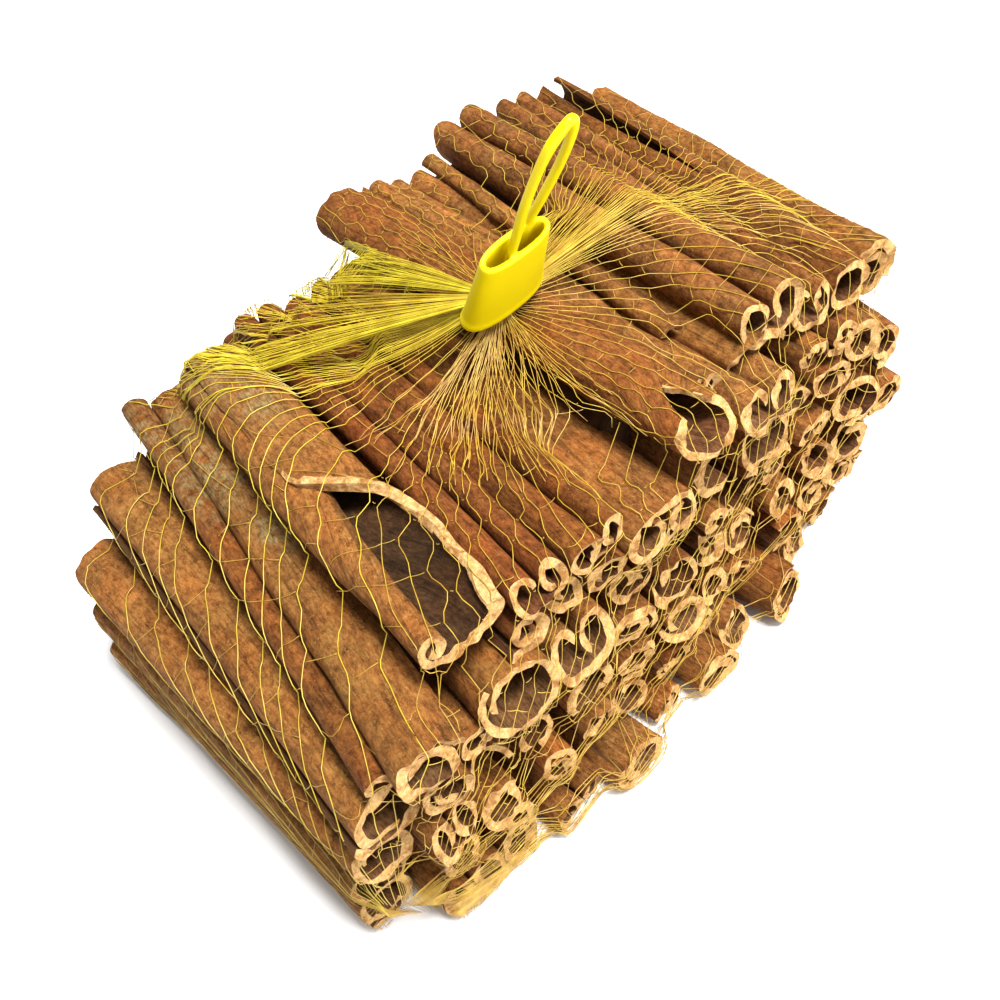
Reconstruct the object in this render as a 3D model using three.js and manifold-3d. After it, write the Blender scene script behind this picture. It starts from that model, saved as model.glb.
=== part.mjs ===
// A bundle of cinnamon sticks in a net bag, closed on top by a moulded clip with a hanging loop.
// Millimetres, +Z up. The sticks lie along Y, the long side of the bundle runs along X, and the
// origin is the middle of the base.
import * as THREE from 'three';
import { mergeVertices } from 'three/addons/utils/BufferGeometryUtils.js';
import Module from 'manifold-3d';

const wasm = await Module();
wasm.setup();

// ---- driving dimensions -------------------------------------------------------------------
const MIDDLE = [-1.22, -1.46];  // middle of the finished bundle, which is moved onto the origin
const FRONT_Y = -40;            // front ends of the sticks at x = 0; the sticks are 80 mm long
const BACK_Y = 40;
const FRONT_SLOPE = 0.088;      // the pack is a little sheared: its end faces run off square
const BACK_SLOPE = 0.065;
const WALL = 1.6;               // thickness of the curled bark
const POCKET = 9;               // depth of the open ends
const SINK = 0.9;               // how far the lowest sticks are flattened by their own weight
const RIM_SIDES = 8;
const INNER_SIDES = 7;
const FRONT_HOLE_SIDES = 5;
const BACK_HOLE_SIDES = 4;
const HOLE_SHARE = 0.94;        // of the clear width inside the bark
const SCOOP_REACH = 0.5;        // how far the half-unrolled stick is open, of its length
const SCOOP_NARROWING = 0.25;   // width of that opening where it ends, against the front
const CORE_INSET = 10.5;        // the solid core stops this far behind the ends of the sticks
const CUT_OVERRUN = 12;         // how far a cutting solid runs past the end it opens
// Section of the space in the half-unrolled stick, across and up from its middle.
const SCOOP_SECTION = [[-1.4, 8], [-1.9, 0.6], [0.2, -2.4], [3.6, -2.3], [5.4, 0.2], [5.7, 8]];

const CLIP_BASE = [-2, -8, 66.9];
const CLIP_LEAN = 0.44;         // radians, toward -Y
const CLIP_TURN = 0.06;         // radians, its flat side turned off the X axis
const SLEEVE_HEIGHT = 13.5;
const SLEEVE_FOOT = [15, 5.4];
const SLEEVE_MOUTH = [12.2, 3.4];
const SLEEVE_WALL = 0.8;
const SLEEVE_SIDES = 16;
const MOUTH_RISE = 1.2;         // the back of its mouth is this much higher than the front
const STRAP = [1.2, 1.1];
const STRAP_STEPS = 32;
// The loop's middle line from the back of the mouth over its tip and down into the sleeve:
// across, deep and up from the middle of the sleeve's foot.
const STRAP_ROUTE = [
  [3.2, 1.2, 10],
  [3.4, 1.1, 14.5],
  [3.9, 0.6, 18.5],
  [5, 0.2, 24],
  [5.5, 0, 28.5],
  [5.4, 0, 31.4],
  [4.5, 0, 32.5],
  [3.1, 0, 31.4],
  [1.9, 0, 29.8],
  [0.8, 0, 26.6],
  [-0.3, -0.1, 21],
  [-0.8, -0.3, 15.5],
  [-1.4, -0.4, 4],
];

const GATHER_THICK = 1.0;       // the gathered net, where its strands lie too close to tell apart
const GATHER_LIFT = 0.6;

// Each stick: [x, z at the front, x, z at the back, lead, width, height, turn in degrees, form,
// tail]. lead is how far the front end stands out past the face, and tail how much is missing at
// the back. The forms are roll (curled shut), pair (both edges curled in), gutter (open), slab (a
// loose piece of bark), mouth (its front end torn open), scoop (half unrolled) and split (a crack
// along its top).
const RIM_STICKS = [
  [53, 50.8, 67, 47.8, -4, 9, 11.5, 0, 'roll'],
  [42, 56.5, 54, 57, -1.5, 8.5, 8, 0, 'split'],
  [33, 58.5, 43.7, 59, -2.5, 8.5, 7.5, 0, 'pair'],
  [23.5, 63, 30.2, 61.7, -3, 12, 8.8, 10, 'pair'],
  [17, 54.5, 15.5, 57, 2, 12, 8, -8, 'pair'],
  [3.5, 60, 2.2, 60.5, 1.5, 12.5, 9, 0, 'mouth'],
  [-6.5, 50, -3, 52, 2, 13, 8, 180, 'pair', 6],
  [-18, 57, -13, 54, 1, 10, 7, 0, 'pair', 7],
  [-27.5, 58, -22, 55, 0, 9, 6.5, 0, 'pair', 5],
  [-31, 52, -26, 50.5, 0, 8, 7, 0, 'roll'],
  [-35, 45, -31, 44, 2, 13.5, 11, 0, 'roll'],
  [-50, 47.5, -40, 49, 2, 10.5, 9, 0, 'pair', 2.5],
  [-56.5, 38.5, -55.3, 41.3, -3, 12.5, 10.5, 0, 'roll', 1.5],
  [-59, 28.5, -65, 29.3, -4, 10.5, 9.5, 0, 'roll', 1.8],
  [-61, 18, -66.7, 19, -7, 10, 9, 0, 'pair', 1],
  [-62, 7.8, -68.3, 7.3, -8.5, 11, 9, 0, 'roll'],
  [-50, 6, -58.5, 5.5, -0.5, 12, 9.5, 0, 'pair'],
  [-41, 5, -49, 5, -0.5, 9, 9, 0, 'roll'],
  [-29, 4.5, -38.5, 4.5, 2, 12, 8, 0, 'pair'],
  [-17.8, 4.8, -28, 4.5, 5.5, 11.5, 8.5, 0, 'roll'],
  [-8, 4.3, -18, 4.3, 2.2, 8.5, 7.5, 0, 'roll'],
  [2, 5.2, -8, 5, 5.5, 10.5, 9.5, 0, 'roll'],
  [11.5, 5, 1.5, 4.5, 1.8, 9, 9, 0, 'roll'],
  [22, 5.7, 12, 5.7, 5.5, 11.5, 10.5, 0, 'roll'],
  [33, 5, 22.5, 5, -0.7, 9, 9, 0, 'roll'],
  [42.5, 5, 32.5, 5, -1, 9, 9, 0, 'roll'],
  [51, 7, 43, 5.5, -2, 9, 8.5, 0, 'roll'],
  [53.5, 15.5, 61, 17, -2.7, 8, 8, 0, 'roll'],
  [55, 25.5, 65, 28, 1.5, 8.5, 10, 0, 'roll'],
  [54, 37, 63, 39, 0, 8, 9, 0, 'roll'],
  [45.5, 43.5, 57, 43, 0, 8, 10, 0, 'roll'],
];
const LOOSE_STICKS = [
  [14.5, 60, 21.5, 60.3, -14, 3.5, 3, 0, 'slab'],
  [-39.5, 59, -33.5, 56, -3, 13.5, 8, 0, 'scoop', 10.5],
  [-55.5, 46, -46.2, 51, -2, 4.5, 4.5, 0, 'slab'],
];
const INNER_STICKS = [
  [20.5, 58.3, 25, 54.5, -3, 11, 5, 0, 'slab'],
  [31.5, 51.5, 39, 51.5, 0, 6.5, 6.5, 0, 'roll'],
  [39.5, 49, 47, 49.5, 0, 8, 7, 0, 'roll'],
  [19.5, 43.5, 21, 44, 0, 10.5, 8, 0, 'pair'],
  [28.5, 43.5, 33, 43.5, -1, 8, 7, 0, 'roll'],
  [37, 41.5, 44, 41, 0, 9, 7.5, 0, 'roll'],
  [7.5, 48, 8, 47, 0, 11.5, 8, 270, 'gutter'],
  [-1, 41, 2, 42, -1, 8, 7, 0, 'roll'],
  [-15.5, 48, -11, 45, 0, 8.5, 7.5, 0, 'roll'],
  [-23, 51, -18, 46.5, -1, 7, 6.5, 0, 'roll'],
  [-23, 41, -18, 39, 1, 11, 10.5, 0, 'pair'],
  [-10.5, 40, -7, 38, -1, 8.5, 8, 0, 'pair'],
  [-42.5, 40.5, -36.5, 38, 0, 6.5, 7, 0, 'roll'],
  [-48.5, 38, -47, 39.5, 1, 8.5, 8.5, 0, 'roll'],
  [-33.5, 35.5, -27, 36, 0, 9, 7, 0, 'roll'],
  [-41.5, 31.5, -38, 29, 0, 8, 8.5, 0, 'slab'],
  [-50, 28.5, -55, 29.5, 1, 8.5, 9, 0, 'pair'],
  [-33, 27.5, -28, 27.5, -1, 7.5, 7.5, 0, 'roll'],
  [-23.5, 29, -19, 28, 1, 10, 10, 0, 'roll'],
  [-12.5, 30.5, -9, 29, 0, 9.5, 8.5, 0, 'roll'],
  [-2, 31.5, 1, 32, 0, 10, 8, 0, 'roll'],
  [6.5, 37.5, 10, 38, 1, 6.5, 7.5, 0, 'roll'],
  [7, 29.5, 11, 30, -1, 7, 7, 0, 'roll'],
  [16, 34, 20, 35, -1, 8.5, 7.5, 60, 'gutter'],
  [25, 33, 29, 33.5, -1, 8.5, 8.5, 0, 'roll'],
  [34, 33.5, 40, 32.5, 0, 9, 7, 0, 'roll'],
  [44.5, 32, 52, 31, 1, 12, 9, 0, 'roll'],
  [15.5, 24.5, 19, 25, -1, 9, 8, 0, 'roll'],
  [25.5, 23.5, 30, 24, 0, 8.5, 8, 0, 'roll'],
  [35.5, 24.5, 41, 24, 0, 9, 8.5, 0, 'roll'],
  [-1.5, 21.8, 2, 22, 1, 9.5, 8.5, 0, 'roll'],
  [-12, 21.5, -8, 20.5, 0, 9, 7.5, 0, 'roll'],
  [7, 20, 11, 20.5, 0, 7.5, 8, 0, 'roll'],
  [-42, 22, -44, 20, 1, 8.5, 8, 0, 'roll'],
  [-50.5, 18.5, -57, 18, 0, 8.5, 9, 0, 'roll'],
  [-31.5, 17.5, -30, 18, 1, 6.5, 12, 0, 'roll'],
  [-22.8, 18, -18.5, 18, 1, 8, 8.5, 0, 'roll'],
  [-14, 13.3, -9, 13, 0, 9, 8.5, 0, 'roll'],
  [-4.5, 13, 1, 13, 1, 8.5, 8, 0, 'roll'],
  [4, 12.2, 9.5, 12, 0, 8, 7.5, 0, 'roll'],
  [14, 15, 18, 15.5, 0, 9, 8.5, 0, 'roll'],
  [26.5, 15, 31, 15.5, 1, 9.5, 8.5, 90, 'gutter'],
  [36, 15.5, 42, 15, 0, 8.5, 8.5, 0, 'roll'],
  [45.5, 22, 53, 21.5, 1, 9.5, 9, 0, 'roll'],
  [-39.5, 13.3, -38, 12.5, 0, 7, 7.5, 0, 'roll'],
  [45, 13, 51, 12.5, 0, 8, 7, 0, 'roll'],
  [10.8, 58.5, 9, 60.8, -4, 6.5, 6.5, 0, 'roll'],
];

// ---- helpers ------------------------------------------------------------------------------
function seededRandom(seed) {
  let state = seed >>> 0;
  return () => {
    state = (state + 0x6d2b79f5) >>> 0;
    let t = Math.imul(state ^ (state >>> 15), state | 1);
    t ^= t + Math.imul(t ^ (t >>> 7), t | 61);
    return ((t ^ (t >>> 14)) >>> 0) / 4294967296;
  };
}

function toSolid(geometry) {
  geometry.deleteAttribute('normal');
  geometry.deleteAttribute('uv');
  const merged = mergeVertices(geometry, 1e-4);
  const vertProperties = new Float32Array(merged.attributes.position.array);
  const triVerts = new Uint32Array(merged.index.array);
  const solid = new wasm.Manifold(new wasm.Mesh({ numProp: 3, vertProperties, triVerts }));
  if (solid.volume() > 0) return solid;
  const turnedOut = triVerts.slice().reverse();
  return new wasm.Manifold(new wasm.Mesh({ numProp: 3, vertProperties, triVerts: turnedOut }));
}

function toGeometry(solid) {
  const mesh = solid.getMesh();
  const geometry = new THREE.BufferGeometry();
  geometry.setAttribute('position', new THREE.BufferAttribute(Float32Array.from(mesh.vertProperties), 3));
  geometry.setIndex(Array.from(mesh.triVerts));
  geometry.computeVertexNormals();
  return geometry;
}

// A closed solid from rings of points of equal count, the last ring's cap and the first's filled.
function loftSolid(rings, capOutline) {
  const count = rings[0].length;
  const positions = [];
  for (const ring of rings) {
    for (const point of ring) positions.push(point.x, point.y, point.z);
  }
  const index = [];
  for (let r = 0; r + 1 < rings.length; r += 1) {
    for (let i = 0; i < count; i += 1) {
      const j = (i + 1) % count;
      const [a, b] = [r * count + i, r * count + j];
      index.push(a, b, b + count, a, b + count, a + count);
    }
  }
  const last = (rings.length - 1) * count;
  for (const [a, b, c] of THREE.ShapeUtils.triangulateShape(capOutline, [])) {
    index.push(a, c, b, last + a, last + b, last + c);
  }
  const geometry = new THREE.BufferGeometry();
  geometry.setAttribute('position', new THREE.BufferAttribute(new Float32Array(positions), 3));
  geometry.setIndex(index);
  return toSolid(geometry);
}

function largestPiece(solid) {
  const pieces = solid.decompose();
  pieces.sort((a, b) => b.volume() - a.volume());
  return pieces[0];
}

// ---- one stick ----------------------------------------------------------------------------
function stickFrame(stick) {
  const [frontX, frontZ, backX, backZ, lead, , , , , tail = 0] = stick;
  const front = new THREE.Vector3(frontX, FRONT_Y + FRONT_SLOPE * frontX - lead, frontZ - SINK);
  const back = new THREE.Vector3(backX, BACK_Y + BACK_SLOPE * backX, backZ - SINK);
  const along = back.clone().sub(front).normalize();
  back.addScaledVector(along, -tail);
  const across = new THREE.Vector3().crossVectors(along, new THREE.Vector3(0, 0, 1)).normalize();
  const up = new THREE.Vector3().crossVectors(across, along);
  return { front, back, along, across, up };
}

// Points of an outline (u across, v up) set on a plane through the stick, slanted by tilt.
function placeRing(outline, frame, origin, depth, tilt = [0, 0]) {
  return outline.map((p) => origin.clone()
    .addScaledVector(frame.across, p.x)
    .addScaledVector(frame.up, p.y)
    .addScaledVector(frame.along, depth + tilt[0] * p.x + tilt[1] * p.y));
}

function ovalOutline(width, height, sides, phase = 0, wobble = 0, centreU = 0, centreV = 0) {
  const outline = [];
  for (let i = 0; i < sides; i += 1) {
    const angle = (2 * Math.PI * i) / sides;
    const r = 0.5 * (1 + wobble * Math.sin(2 * angle + phase) + 0.6 * wobble * Math.sin(3 * angle - phase));
    const [u, v] = [width * r * Math.cos(angle), height * r * Math.sin(angle)];
    outline.push(new THREE.Vector2(centreU + u, centreV + v));
  }
  return outline;
}

// Two curls side by side: an oval pinched in the middle of one long side.
function pairOutline(width, height, sides) {
  return ovalOutline(width, height, sides, Math.PI / 2, 0.03).map((p) => {
    const pinch = p.y > 0 ? 0.32 * Math.exp(-((p.x / (0.2 * width)) ** 2)) : 0;
    return new THREE.Vector2(p.x, p.y * (1 - pinch));
  });
}

// A band of bark bent round part of a circle; opening is the angle that stays open, at +v.
function bandOutline(width, height, thickness, opening, steps) {
  const outer = [];
  const inner = [];
  for (let i = 0; i <= steps; i += 1) {
    const angle = Math.PI / 2 + opening / 2 + ((2 * Math.PI - opening) * i) / steps;
    const [c, s] = [Math.cos(angle), Math.sin(angle)];
    outer.push(new THREE.Vector2((width / 2) * c, (height / 2) * s));
    inner.push(new THREE.Vector2((width / 2 - thickness) * c, (height / 2 - thickness) * s));
  }
  return outer.concat(inner.reverse());
}

function turned(outline, degrees) {
  const centre = new THREE.Vector2(0, 0);
  return outline.map((p) => p.clone().rotateAround(centre, THREE.MathUtils.degToRad(degrees)));
}

// The stick as one closed shell, with a blind pocket in its ends for each hole given.
function pocketedSolid(frame, outline, frontTilt, backTilt, frontHoles, backHoles) {
  const positions = [];
  const index = [];
  const addRing = (ring) => {
    const start = positions.length / 3;
    for (const point of ring) positions.push(point.x, point.y, point.z);
    return start;
  };
  const addWall = (first, second, count, inward) => {
    for (let i = 0; i < count; i += 1) {
      const j = (i + 1) % count;
      const [a, b, c, d] = [first + i, first + j, second + j, second + i];
      index.push(...(inward ? [a, c, b, a, d, c] : [a, b, c, a, c, d]));
    }
  };
  const addEnd = (origin, holes, tilt, depth, isFront) => {
    const start = addRing(placeRing(outline, frame, origin, 0, tilt));
    const starts = holes.map((hole) => addRing(placeRing(hole, frame, origin, 0, tilt)));
    const cap = (contour, inner, first) => {
      for (const [a, b, c] of THREE.ShapeUtils.triangulateShape(contour, inner)) {
        index.push(first + a, ...(isFront ? [first + c, first + b] : [first + b, first + c]));
      }
    };
    cap(outline, holes, start);
    holes.forEach((hole, i) => {
      const bottom = addRing(placeRing(hole, frame, origin, depth));
      addWall(starts[i], bottom, hole.length, isFront);
      cap(hole, [], bottom);
    });
    return start;
  };
  const front = addEnd(frame.front, frontHoles, frontTilt, POCKET, true);
  const back = addEnd(frame.back, backHoles, backTilt, -POCKET, false);
  addWall(front, back, outline.length, false);
  const geometry = new THREE.BufferGeometry();
  geometry.setAttribute('position', new THREE.BufferAttribute(new Float32Array(positions), 3));
  geometry.setIndex(index);
  return toSolid(geometry);
}

function stickSolid(stick, number) {
  const [, , , , , width, height, turn, form] = stick;
  const random = seededRandom(977 + 31 * number);
  const frame = stickFrame(stick);
  const phase = 2 * Math.PI * random();
  const length = frame.front.distanceTo(frame.back);
  const sides = INNER_STICKS.includes(stick) ? INNER_SIDES : RIM_SIDES;
  const frontTilt = [0.3 * (random() - 0.5), form === 'mouth' ? 0.85 : 0.5 * (random() - 0.35)];
  const backTilt = [0.3 * (random() - 0.5), 0.4 * (random() - 0.5)];
  const innerWidth = HOLE_SHARE * (width - 2 * WALL);
  const innerHeight = HOLE_SHARE * (height - 2 * WALL);

  const hollow = ovalOutline(innerWidth, innerHeight, FRONT_HOLE_SIDES, phase, 0.06);
  const curls = [-1, 1].map((side) => {
    const curlWidth = (0.5 + 0.06 * side) * innerWidth - 0.4 * WALL;
    return ovalOutline(curlWidth, 0.85 * innerHeight, FRONT_HOLE_SIDES, phase, 0, 0.25 * side * width, -0.2);
  });
  const smallCurl = ovalOutline(2.6, 3.2, FRONT_HOLE_SIDES, 0, 0, -4.1, 0.2);
  const wideHollow = ovalOutline(1.2 * innerWidth, 1.2 * innerHeight, RIM_SIDES);
  const backHollow = ovalOutline(innerWidth, innerHeight, BACK_HOLE_SIDES, phase, 0.06);
  const forms = {
    roll: [ovalOutline(width, height, sides, phase, 0.05), [hollow], [backHollow]],
    pair: [pairOutline(width, height, RIM_SIDES), curls, [backHollow]],
    gutter: [bandOutline(width, height, WALL, 1.7, 5), [], []],
    slab: [bandOutline(width, height, Math.min(WALL, 0.36 * height), 3.4, 4), [], []],
    mouth: [ovalOutline(width, height, RIM_SIDES + 2), [wideHollow], [backHollow]],
    scoop: [ovalOutline(width, height, RIM_SIDES + 2), [smallCurl], [backHollow]],
    split: [ovalOutline(width, height, RIM_SIDES, phase, 0.03), [hollow], [backHollow]],
  };
  const [outline, frontHoles, backHoles] = forms[form];
  let solid = pocketedSolid(
    frame,
    turned(outline, turn),
    frontTilt,
    backTilt,
    frontHoles.map((hole) => turned(hole, turn)),
    backHoles.map((hole) => turned(hole, turn)),
  );
  const cut = (near, far, origin, nearDepth, farDepth) => {
    solid = solid.subtract(loftSolid([
      placeRing(near, frame, origin, nearDepth),
      placeRing(far, frame, origin, farDepth),
    ], near));
  };
  if (form === 'scoop') {
    const mouth = SCOOP_SECTION.map(([u, v]) => new THREE.Vector2(u, v));
    const tip = mouth.map((p) => {
      const lift = p.y < 0.5 * height ? 0.3 * height : 0;
      return new THREE.Vector2(2 + SCOOP_NARROWING * (p.x - 2), p.y + lift);
    });
    cut(mouth, tip, frame.front, -CUT_OVERRUN, SCOOP_REACH * length);
  }
  if (form === 'split') {
    const crack = ovalOutline(1.6, 7, 6, 0, 0, -1, 0.5 * height);
    const crackEnd = crack.map((p) => new THREE.Vector2(-1 + 0.3 * (p.x + 1), p.y));
    cut(crackEnd, crack, frame.back, -0.5 * length, CUT_OVERRUN);
  }
  return solid;
}

// ---- the bundle ---------------------------------------------------------------------------
// The core runs through the middle of the outermost sticks, all the way round.
function coreSolid() {
  const frames = RIM_STICKS.map(stickFrame);
  const ringAt = (inset) => frames.map((frame) => {
    const span = frame.back.y - frame.front.y;
    const faceY = inset > 0
      ? FRONT_Y + FRONT_SLOPE * frame.front.x + inset
      : BACK_Y + BACK_SLOPE * frame.back.x + inset;
    const t = (faceY - frame.front.y) / span;
    return frame.front.clone().lerp(frame.back, t);
  });
  const near = ringAt(CORE_INSET);
  const far = ringAt(-CORE_INSET);
  const section = near.map((p) => new THREE.Vector2(p.x, p.z));
  const counterClockwise = THREE.ShapeUtils.area(section) > 0;
  const order = (list) => (counterClockwise ? list : list.slice().reverse());
  return loftSolid([order(near), order(far)], order(section));
}

function bundleSolid() {
  let solid = coreSolid();
  const sticks = [...RIM_STICKS, ...LOOSE_STICKS, ...INNER_STICKS];
  sticks.forEach((stick, number) => {
    solid = solid.add(stickSolid(stick, number));
  });
  const ground = new THREE.BoxGeometry(400, 300, 40);
  ground.translate(0, 0, -20);
  return largestPiece(solid.subtract(toSolid(ground)));
}

// Height of the top of the sticks over a point, 0 where none lies.
function topOfSticks(x, y) {
  let top = 0;
  for (const stick of [...RIM_STICKS, ...LOOSE_STICKS]) {
    const { front, back } = stickFrame(stick);
    const t = (y - front.y) / (back.y - front.y);
    if (t > -0.02 && t < 1.02) {
      const centre = front.clone().lerp(back, t);
      const offset = (x - centre.x) / (0.53 * stick[5]);
      if (Math.abs(offset) < 1) {
        top = Math.max(top, centre.z + 0.53 * stick[6] * Math.sqrt(1 - offset * offset));
      }
    }
  }
  return top;
}

// ---- the clip ---------------------------------------------------------------------------------
function clipFrame() {
  const axis = new THREE.Vector3(0, -Math.tan(CLIP_LEAN), 1).normalize();
  const width = new THREE.Vector3(Math.cos(CLIP_TURN), Math.sin(CLIP_TURN), 0);
  width.addScaledVector(axis, -axis.dot(width)).normalize();
  const depth = new THREE.Vector3().crossVectors(axis, width);
  return { base: new THREE.Vector3(...CLIP_BASE), axis, width, depth };
}

function clipPoint(frame, u, v, w) {
  return frame.base.clone()
    .addScaledVector(frame.width, u)
    .addScaledVector(frame.depth, v)
    .addScaledVector(frame.axis, w);
}

// A flattened ring square to the clip's axis; rise lifts its back over its front.
function sleeveRing(frame, [across, deep], height, rise = 0) {
  const ring = [];
  for (let i = 0; i < SLEEVE_SIDES; i += 1) {
    const angle = (2 * Math.PI * i) / SLEEVE_SIDES;
    const [c, s] = [Math.cos(angle), Math.sin(angle)];
    const u = 0.5 * across * Math.sign(c) * Math.abs(c) ** 0.8;
    const v = 0.5 * deep * Math.sign(s) * Math.abs(s) ** 0.8;
    ring.push(clipPoint(frame, u, v, height + (rise * v) / deep));
  }
  return ring;
}

function strapSolid(frame) {
  const path = new THREE.CatmullRomCurve3(
    STRAP_ROUTE.map(([u, v, w]) => clipPoint(frame, u, v, w)),
    false,
    'centripetal',
  );
  const rings = [];
  for (let i = 0; i <= STRAP_STEPS; i += 1) {
    const middle = path.getPoint(i / STRAP_STEPS);
    const side = new THREE.Vector3().crossVectors(path.getTangent(i / STRAP_STEPS), frame.depth).normalize();
    rings.push(ovalOutline(STRAP[0] * 1.15, STRAP[1] * 1.15, 6).map((p) => middle.clone()
      .addScaledVector(side, p.x)
      .addScaledVector(frame.depth, p.y)));
  }
  return loftSolid(rings, ovalOutline(1, 1, 6));
}

function clipSolid() {
  const frame = clipFrame();
  const section = ovalOutline(2, 1, SLEEVE_SIDES);
  const waist = SLEEVE_FOOT.map((foot, i) => 0.45 * foot + 0.55 * SLEEVE_MOUTH[i]);
  const body = loftSolid([
    sleeveRing(frame, SLEEVE_FOOT.map((size) => size - 0.8), 0),
    sleeveRing(frame, SLEEVE_FOOT, 0.8),
    sleeveRing(frame, waist, 0.6 * SLEEVE_HEIGHT),
    sleeveRing(frame, SLEEVE_MOUTH, SLEEVE_HEIGHT, MOUTH_RISE),
  ], section);
  const mouth = SLEEVE_MOUTH.map((size) => size - 2 * SLEEVE_WALL);
  const hollow = loftSolid([
    sleeveRing(frame, mouth, 4),
    sleeveRing(frame, mouth, SLEEVE_HEIGHT + 6),
  ], section);
  return largestPiece(body.subtract(hollow).add(strapSolid(frame)));
}

// ---- the gathered net -----------------------------------------------------------------------
// Where the net is drawn together its strands lie too close to tell apart: a small skirt under
// the clip and three long flaps that run from it over the top of the sticks.
// Each flap: [x, y where it starts, x, y where it ends, first width, last width].
const FLAPS = [
  [-3.5, -2, -7.7, 28.5, 6, 11],
  [-7, -3.5, -31, 25, 7, 18],
  [3, -7, 33, -13, 7, 5],
];
const FLAP_STEPS = 9;
const FLAP_STRIPS = 3;
const SKIRT_NECK = [11, 3.6];   // where the net comes out of the clip, across and deep
const SKIRT_HOLLOW = [8, 2];
const SKIRT_RIM = [19, 14];
const SKIRT_GAP = 0.4;

function restHeight(x, y) {
  let height = 0;
  for (const dx of [-3.5, -1.8, 0, 1.8, 3.5]) {
    for (const dy of [-2, 2]) height = Math.max(height, topOfSticks(x + dx, y + dy));
  }
  return height + GATHER_LIFT;
}

// A plate over the sticks: points rows x columns on its underside, and the same again above.
function plateSolid(rows, columns, place) {
  const positions = [];
  for (const lift of [0, GATHER_THICK]) {
    for (let r = 0; r <= rows; r += 1) {
      for (let c = 0; c <= columns; c += 1) {
        const [x, y] = place(r / rows, c / columns);
        positions.push(x, y, restHeight(x, y) + lift);
      }
    }
  }
  const layer = (rows + 1) * (columns + 1);
  const at = (r, c) => r * (columns + 1) + c;
  const index = [];
  for (let r = 0; r < rows; r += 1) {
    for (let c = 0; c < columns; c += 1) {
      const [p, q, s, t] = [at(r, c), at(r, c + 1), at(r + 1, c + 1), at(r + 1, c)];
      index.push(p, s, q, p, t, s);
      index.push(layer + p, layer + q, layer + s, layer + p, layer + s, layer + t);
    }
  }
  const rim = [];
  for (let c = 0; c < columns; c += 1) rim.push(at(0, c));
  for (let r = 0; r < rows; r += 1) rim.push(at(r, columns));
  for (let c = columns; c > 0; c -= 1) rim.push(at(rows, c));
  for (let r = rows; r > 0; r -= 1) rim.push(at(r, 0));
  rim.forEach((a, i) => {
    const b = rim[(i + 1) % rim.length];
    index.push(a, b, layer + b, a, layer + b, layer + a);
  });
  const geometry = new THREE.BufferGeometry();
  geometry.setAttribute('position', new THREE.BufferAttribute(new Float32Array(positions), 3));
  geometry.setIndex(index);
  return toSolid(geometry);
}

function gatherSolid() {
  const neck = clipFrame();
  const rim = sleeveRing(neck, SKIRT_RIM, 0);
  const resting = (lift) => rim.map((p) => new THREE.Vector3(p.x, p.y, restHeight(p.x, p.y) + lift));
  const rings = [
    sleeveRing(neck, SKIRT_NECK, -SKIRT_GAP),
    resting(GATHER_THICK),
    resting(0),
    sleeveRing(neck, SKIRT_HOLLOW, -SKIRT_GAP - GATHER_THICK),
  ];
  let solid = loftSolid(rings, rings[0].map((p) => new THREE.Vector2(p.x, p.y)));
  for (const [startX, startY, endX, endY, startWidth, endWidth] of FLAPS) {
    const start = new THREE.Vector2(startX, startY);
    const run = new THREE.Vector2(endX, endY).sub(start);
    const side = new THREE.Vector2(-run.y, run.x).normalize();
    solid = solid.add(plateSolid(FLAP_STEPS, FLAP_STRIPS, (along, over) => {
      const width = THREE.MathUtils.lerp(startWidth, endWidth, along);
      const p = start.clone().addScaledVector(run, along).addScaledVector(side, width * (over - 0.5));
      return [p.x, p.y];
    }));
  }
  return largestPiece(solid);
}

// ---- the model --------------------------------------------------------------------------------
function named(name, solid, material) {
  const mesh = new THREE.Mesh(toGeometry(solid), material);
  mesh.name = name;
  return mesh;
}

const bark = new THREE.MeshStandardMaterial({ color: 0xa5703f, roughness: 0.85, metalness: 0 });
const netYellow = new THREE.MeshStandardMaterial({ color: 0xd9c22a, roughness: 0.45, metalness: 0 });
const clipYellow = new THREE.MeshStandardMaterial({ color: 0xead000, roughness: 0.4, metalness: 0 });

const model = new THREE.Group();
model.position.set(-MIDDLE[0], -MIDDLE[1], 0);
model.add(named('cinnamon_bundle', bundleSolid(), bark));
model.add(named('net_gather', gatherSolid(), netYellow));
model.add(named('net_clip', clipSolid(), clipYellow));

export default model;
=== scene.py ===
"""A bundle of cinnamon sticks in a yellow net bag, closed on top by a moulded clip with a loop.

Sizes are in millimetres, +Z up; make_piece turns them into metres in the part's own frame.
"""
import math
import random

import bpy
import numpy as np
from mathutils import Matrix, Vector
from mathutils.bvhtree import BVHTree


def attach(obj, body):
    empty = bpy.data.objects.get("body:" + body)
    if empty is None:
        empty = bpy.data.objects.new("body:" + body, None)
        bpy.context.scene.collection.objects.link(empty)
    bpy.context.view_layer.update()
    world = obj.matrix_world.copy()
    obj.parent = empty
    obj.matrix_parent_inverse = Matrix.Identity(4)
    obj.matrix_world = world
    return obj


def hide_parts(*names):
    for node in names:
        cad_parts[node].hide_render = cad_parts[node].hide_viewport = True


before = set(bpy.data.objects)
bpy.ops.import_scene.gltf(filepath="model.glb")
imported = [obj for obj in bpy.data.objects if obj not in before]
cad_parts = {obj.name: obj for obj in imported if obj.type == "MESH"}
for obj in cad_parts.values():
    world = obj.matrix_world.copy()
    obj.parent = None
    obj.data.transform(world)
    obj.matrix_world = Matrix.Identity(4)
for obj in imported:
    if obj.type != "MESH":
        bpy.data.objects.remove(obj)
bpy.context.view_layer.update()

MM = 0.001

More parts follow.
